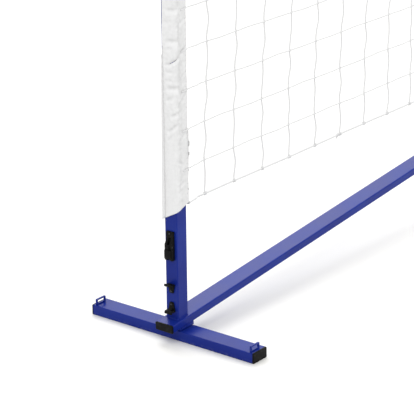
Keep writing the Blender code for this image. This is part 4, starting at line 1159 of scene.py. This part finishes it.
def dress_hardware():
    """Every CAD piece in its finish, the visible ones with their edges eased."""
    for node, target in frame["nodes"].items():
        target.data.materials.clear()
        target.data.materials.append(FINISHES[SLOTS[node]])
    for node in ("cord_hook_upper", "cord_hook_lower", "tensioner_body", "tension_lever"):
        eased(node, MOULDED_EDGE)
    for node in ("post_top_cap", "crossbar_saddle", "strap_loop_near", "strap_loop_far"):
        eased(node, PRESSED_EDGE)
    spring_clip(eased("button_clip", CLIP_EDGE))


def weld(shape, path, radius):
    """A fillet weld: a bead along a joint, with the ripples of its puddle."""
    points = [Vector(point) for point in path]
    spaced = []
    for before, after in zip(points, points[1:]):
        steps = max(2, round((after - before).length / WELD_STEP))
        spaced += [before.lerp(after, step / steps) for step in range(steps)]
    spaced.append(points[-1])
    run = 0.0
    sizes = []
    for index, point in enumerate(spaced):
        if index:
            run += (point - spaced[index - 1]).length
        ripple = WELD_RIPPLE * abs(math.sin(math.pi * run / WELD_RIPPLE_PITCH))
        sizes.append(radius * (WELD_SIZE + ripple + WELD_UNEVEN * uneven(run, radius, WELD_GRAIN)))
    sweep(shape, spaced, sizes, WELD_SIDES)


def welds():
    """Beads where the post and the saddle meet the crossbar, and where the loops stand on the foot."""
    rise = math.tan(BAR_RISE)
    low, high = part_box("post_tube")
    left, right, half, corner = low.x, high.x, high.y, POST_WELD_CORNER
    ring = (
        (left + corner, -half), (right - corner, -half), (right, -half + corner), (right, half - corner),
        (right - corner, half), (left + corner, half), (left, half - corner), (left, -half + corner),
        (left + corner, -half))
    shape = bmesh.new()
    weld(shape, [(x, y, low.z + rise * (x - left) - WELD_SEAT) for x, y in ring], POST_WELD)
    new_piece("post_weld", shape, COAT, "frame")
    low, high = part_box("crossbar_saddle")
    ends = (low.x + SADDLE_WELD_INSET, high.x - SADDLE_WELD_INSET)
    shape = bmesh.new()
    for side in (-1, 1):
        y = side * (high.y + WELD_SEAT)
        weld(shape, [(x, y, high.z - rise * (high.x - x) - WELD_SEAT) for x in ends], SADDLE_WELD)
    new_piece("saddle_weld", shape, COAT, "frame")
    shape = bmesh.new()
    for node in ("strap_loop_near", "strap_loop_far"):
        low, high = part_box(node)
        z = low.z + WELD_SEAT
        for x in (low.x + LOOP_WELD_INSET, high.x - LOOP_WELD_INSET):
            for y in (low.y, high.y):
                weld(shape, [(x - LOOP_WELD_HALF, y, z), (x + LOOP_WELD_HALF, y, z)], LOOP_WELD)
    new_piece("loop_welds", shape, COAT, "foot")


def shown(tree):
    """1 for what is seen by the camera, in a reflection or through glass, else 0."""
    path = tree.nodes.new("ShaderNodeLightPath")
    either = path.outputs["Is Camera Ray"]
    for ray in ("Is Glossy Ray", "Is Transmission Ray"):
        larger = tree.nodes.new("ShaderNodeMath")
        larger.operation = "MAXIMUM"
        tree.links.new(either, larger.inputs[0])
        tree.links.new(path.outputs[ray], larger.inputs[1])
        either = larger.outputs[0]
    return either


def floor():
    """A plain pale floor that keeps the object's shadow."""
    bpy.ops.mesh.primitive_plane_add(size=FLOOR_SIZE, location=(0, 0, FLOOR_LEVEL))
    made = bpy.context.object
    made.name = "floor"
    surface = Finish("pale_floor", roughness=0.9, specular_ior_level=0.0)
    seen = Amount(surface, shown(surface.tree))
    surface.set("Base Color", surface.mix(seen, FLOOR_PALE, FLOOR_SHOWN))
    made.data.materials.append(surface.material)
    made.select_set(False)


def studio():
    """Soft light from above and behind, and an even white surround."""
    scene = bpy.context.scene
    scene.view_settings.view_transform = "Standard"
    world = bpy.data.worlds.new("studio")
    scene.world = world
    world.use_nodes = True
    tree = world.node_tree
    light = tree.nodes["Background"]
    white = tree.nodes.new("ShaderNodeBackground")
    for surround, strength in ((light, SURROUND_LIGHT), (white, SURROUND_SHOWN)):
        surround.inputs["Color"].default_value = (1, 1, 1, 1)
        surround.inputs["Strength"].default_value = strength
    blend = tree.nodes.new("ShaderNodeMixShader")
    for index, source in enumerate((shown(tree), light.outputs[0], white.outputs[0])):
        tree.links.new(source, blend.inputs[index])
    tree.links.new(blend.outputs[0], tree.nodes["World Output"].inputs["Surface"])
    for name, (toward, spread, strength) in LIGHTS.items():
        sun = bpy.data.lights.new(name, "SUN")
        sun.angle = math.radians(spread)
        sun.energy = strength
        made = bpy.data.objects.new(name, sun)
        made.rotation_euler = Vector(toward).to_track_quat("Z", "Y").to_euler()
        scene.collection.objects.link(made)


def camera():
    """The camera at the photograph's view."""
    data = bpy.data.cameras.new("camera")
    data.lens = CAMERA_LENS
    data.sensor_width = CAMERA_SENSOR
    data.clip_end = CAMERA_REACH
    made = bpy.data.objects.new("camera", data)
    turn = Matrix((CAMERA_RIGHT, CAMERA_UP, CAMERA_BACK)).transposed().to_4x4()
    made.matrix_world = Matrix.Translation(CAMERA_PLACE) @ turn
    bpy.context.scene.collection.objects.link(made)
    bpy.context.scene.camera = made


camera()
bottom_rope()
net_strings()
sleeve_piece, sleeve_round = sleeve()
headband_and_side()
sleeve_stitches()
side_cord()
dress_hardware()
welds()
floor()
studio()
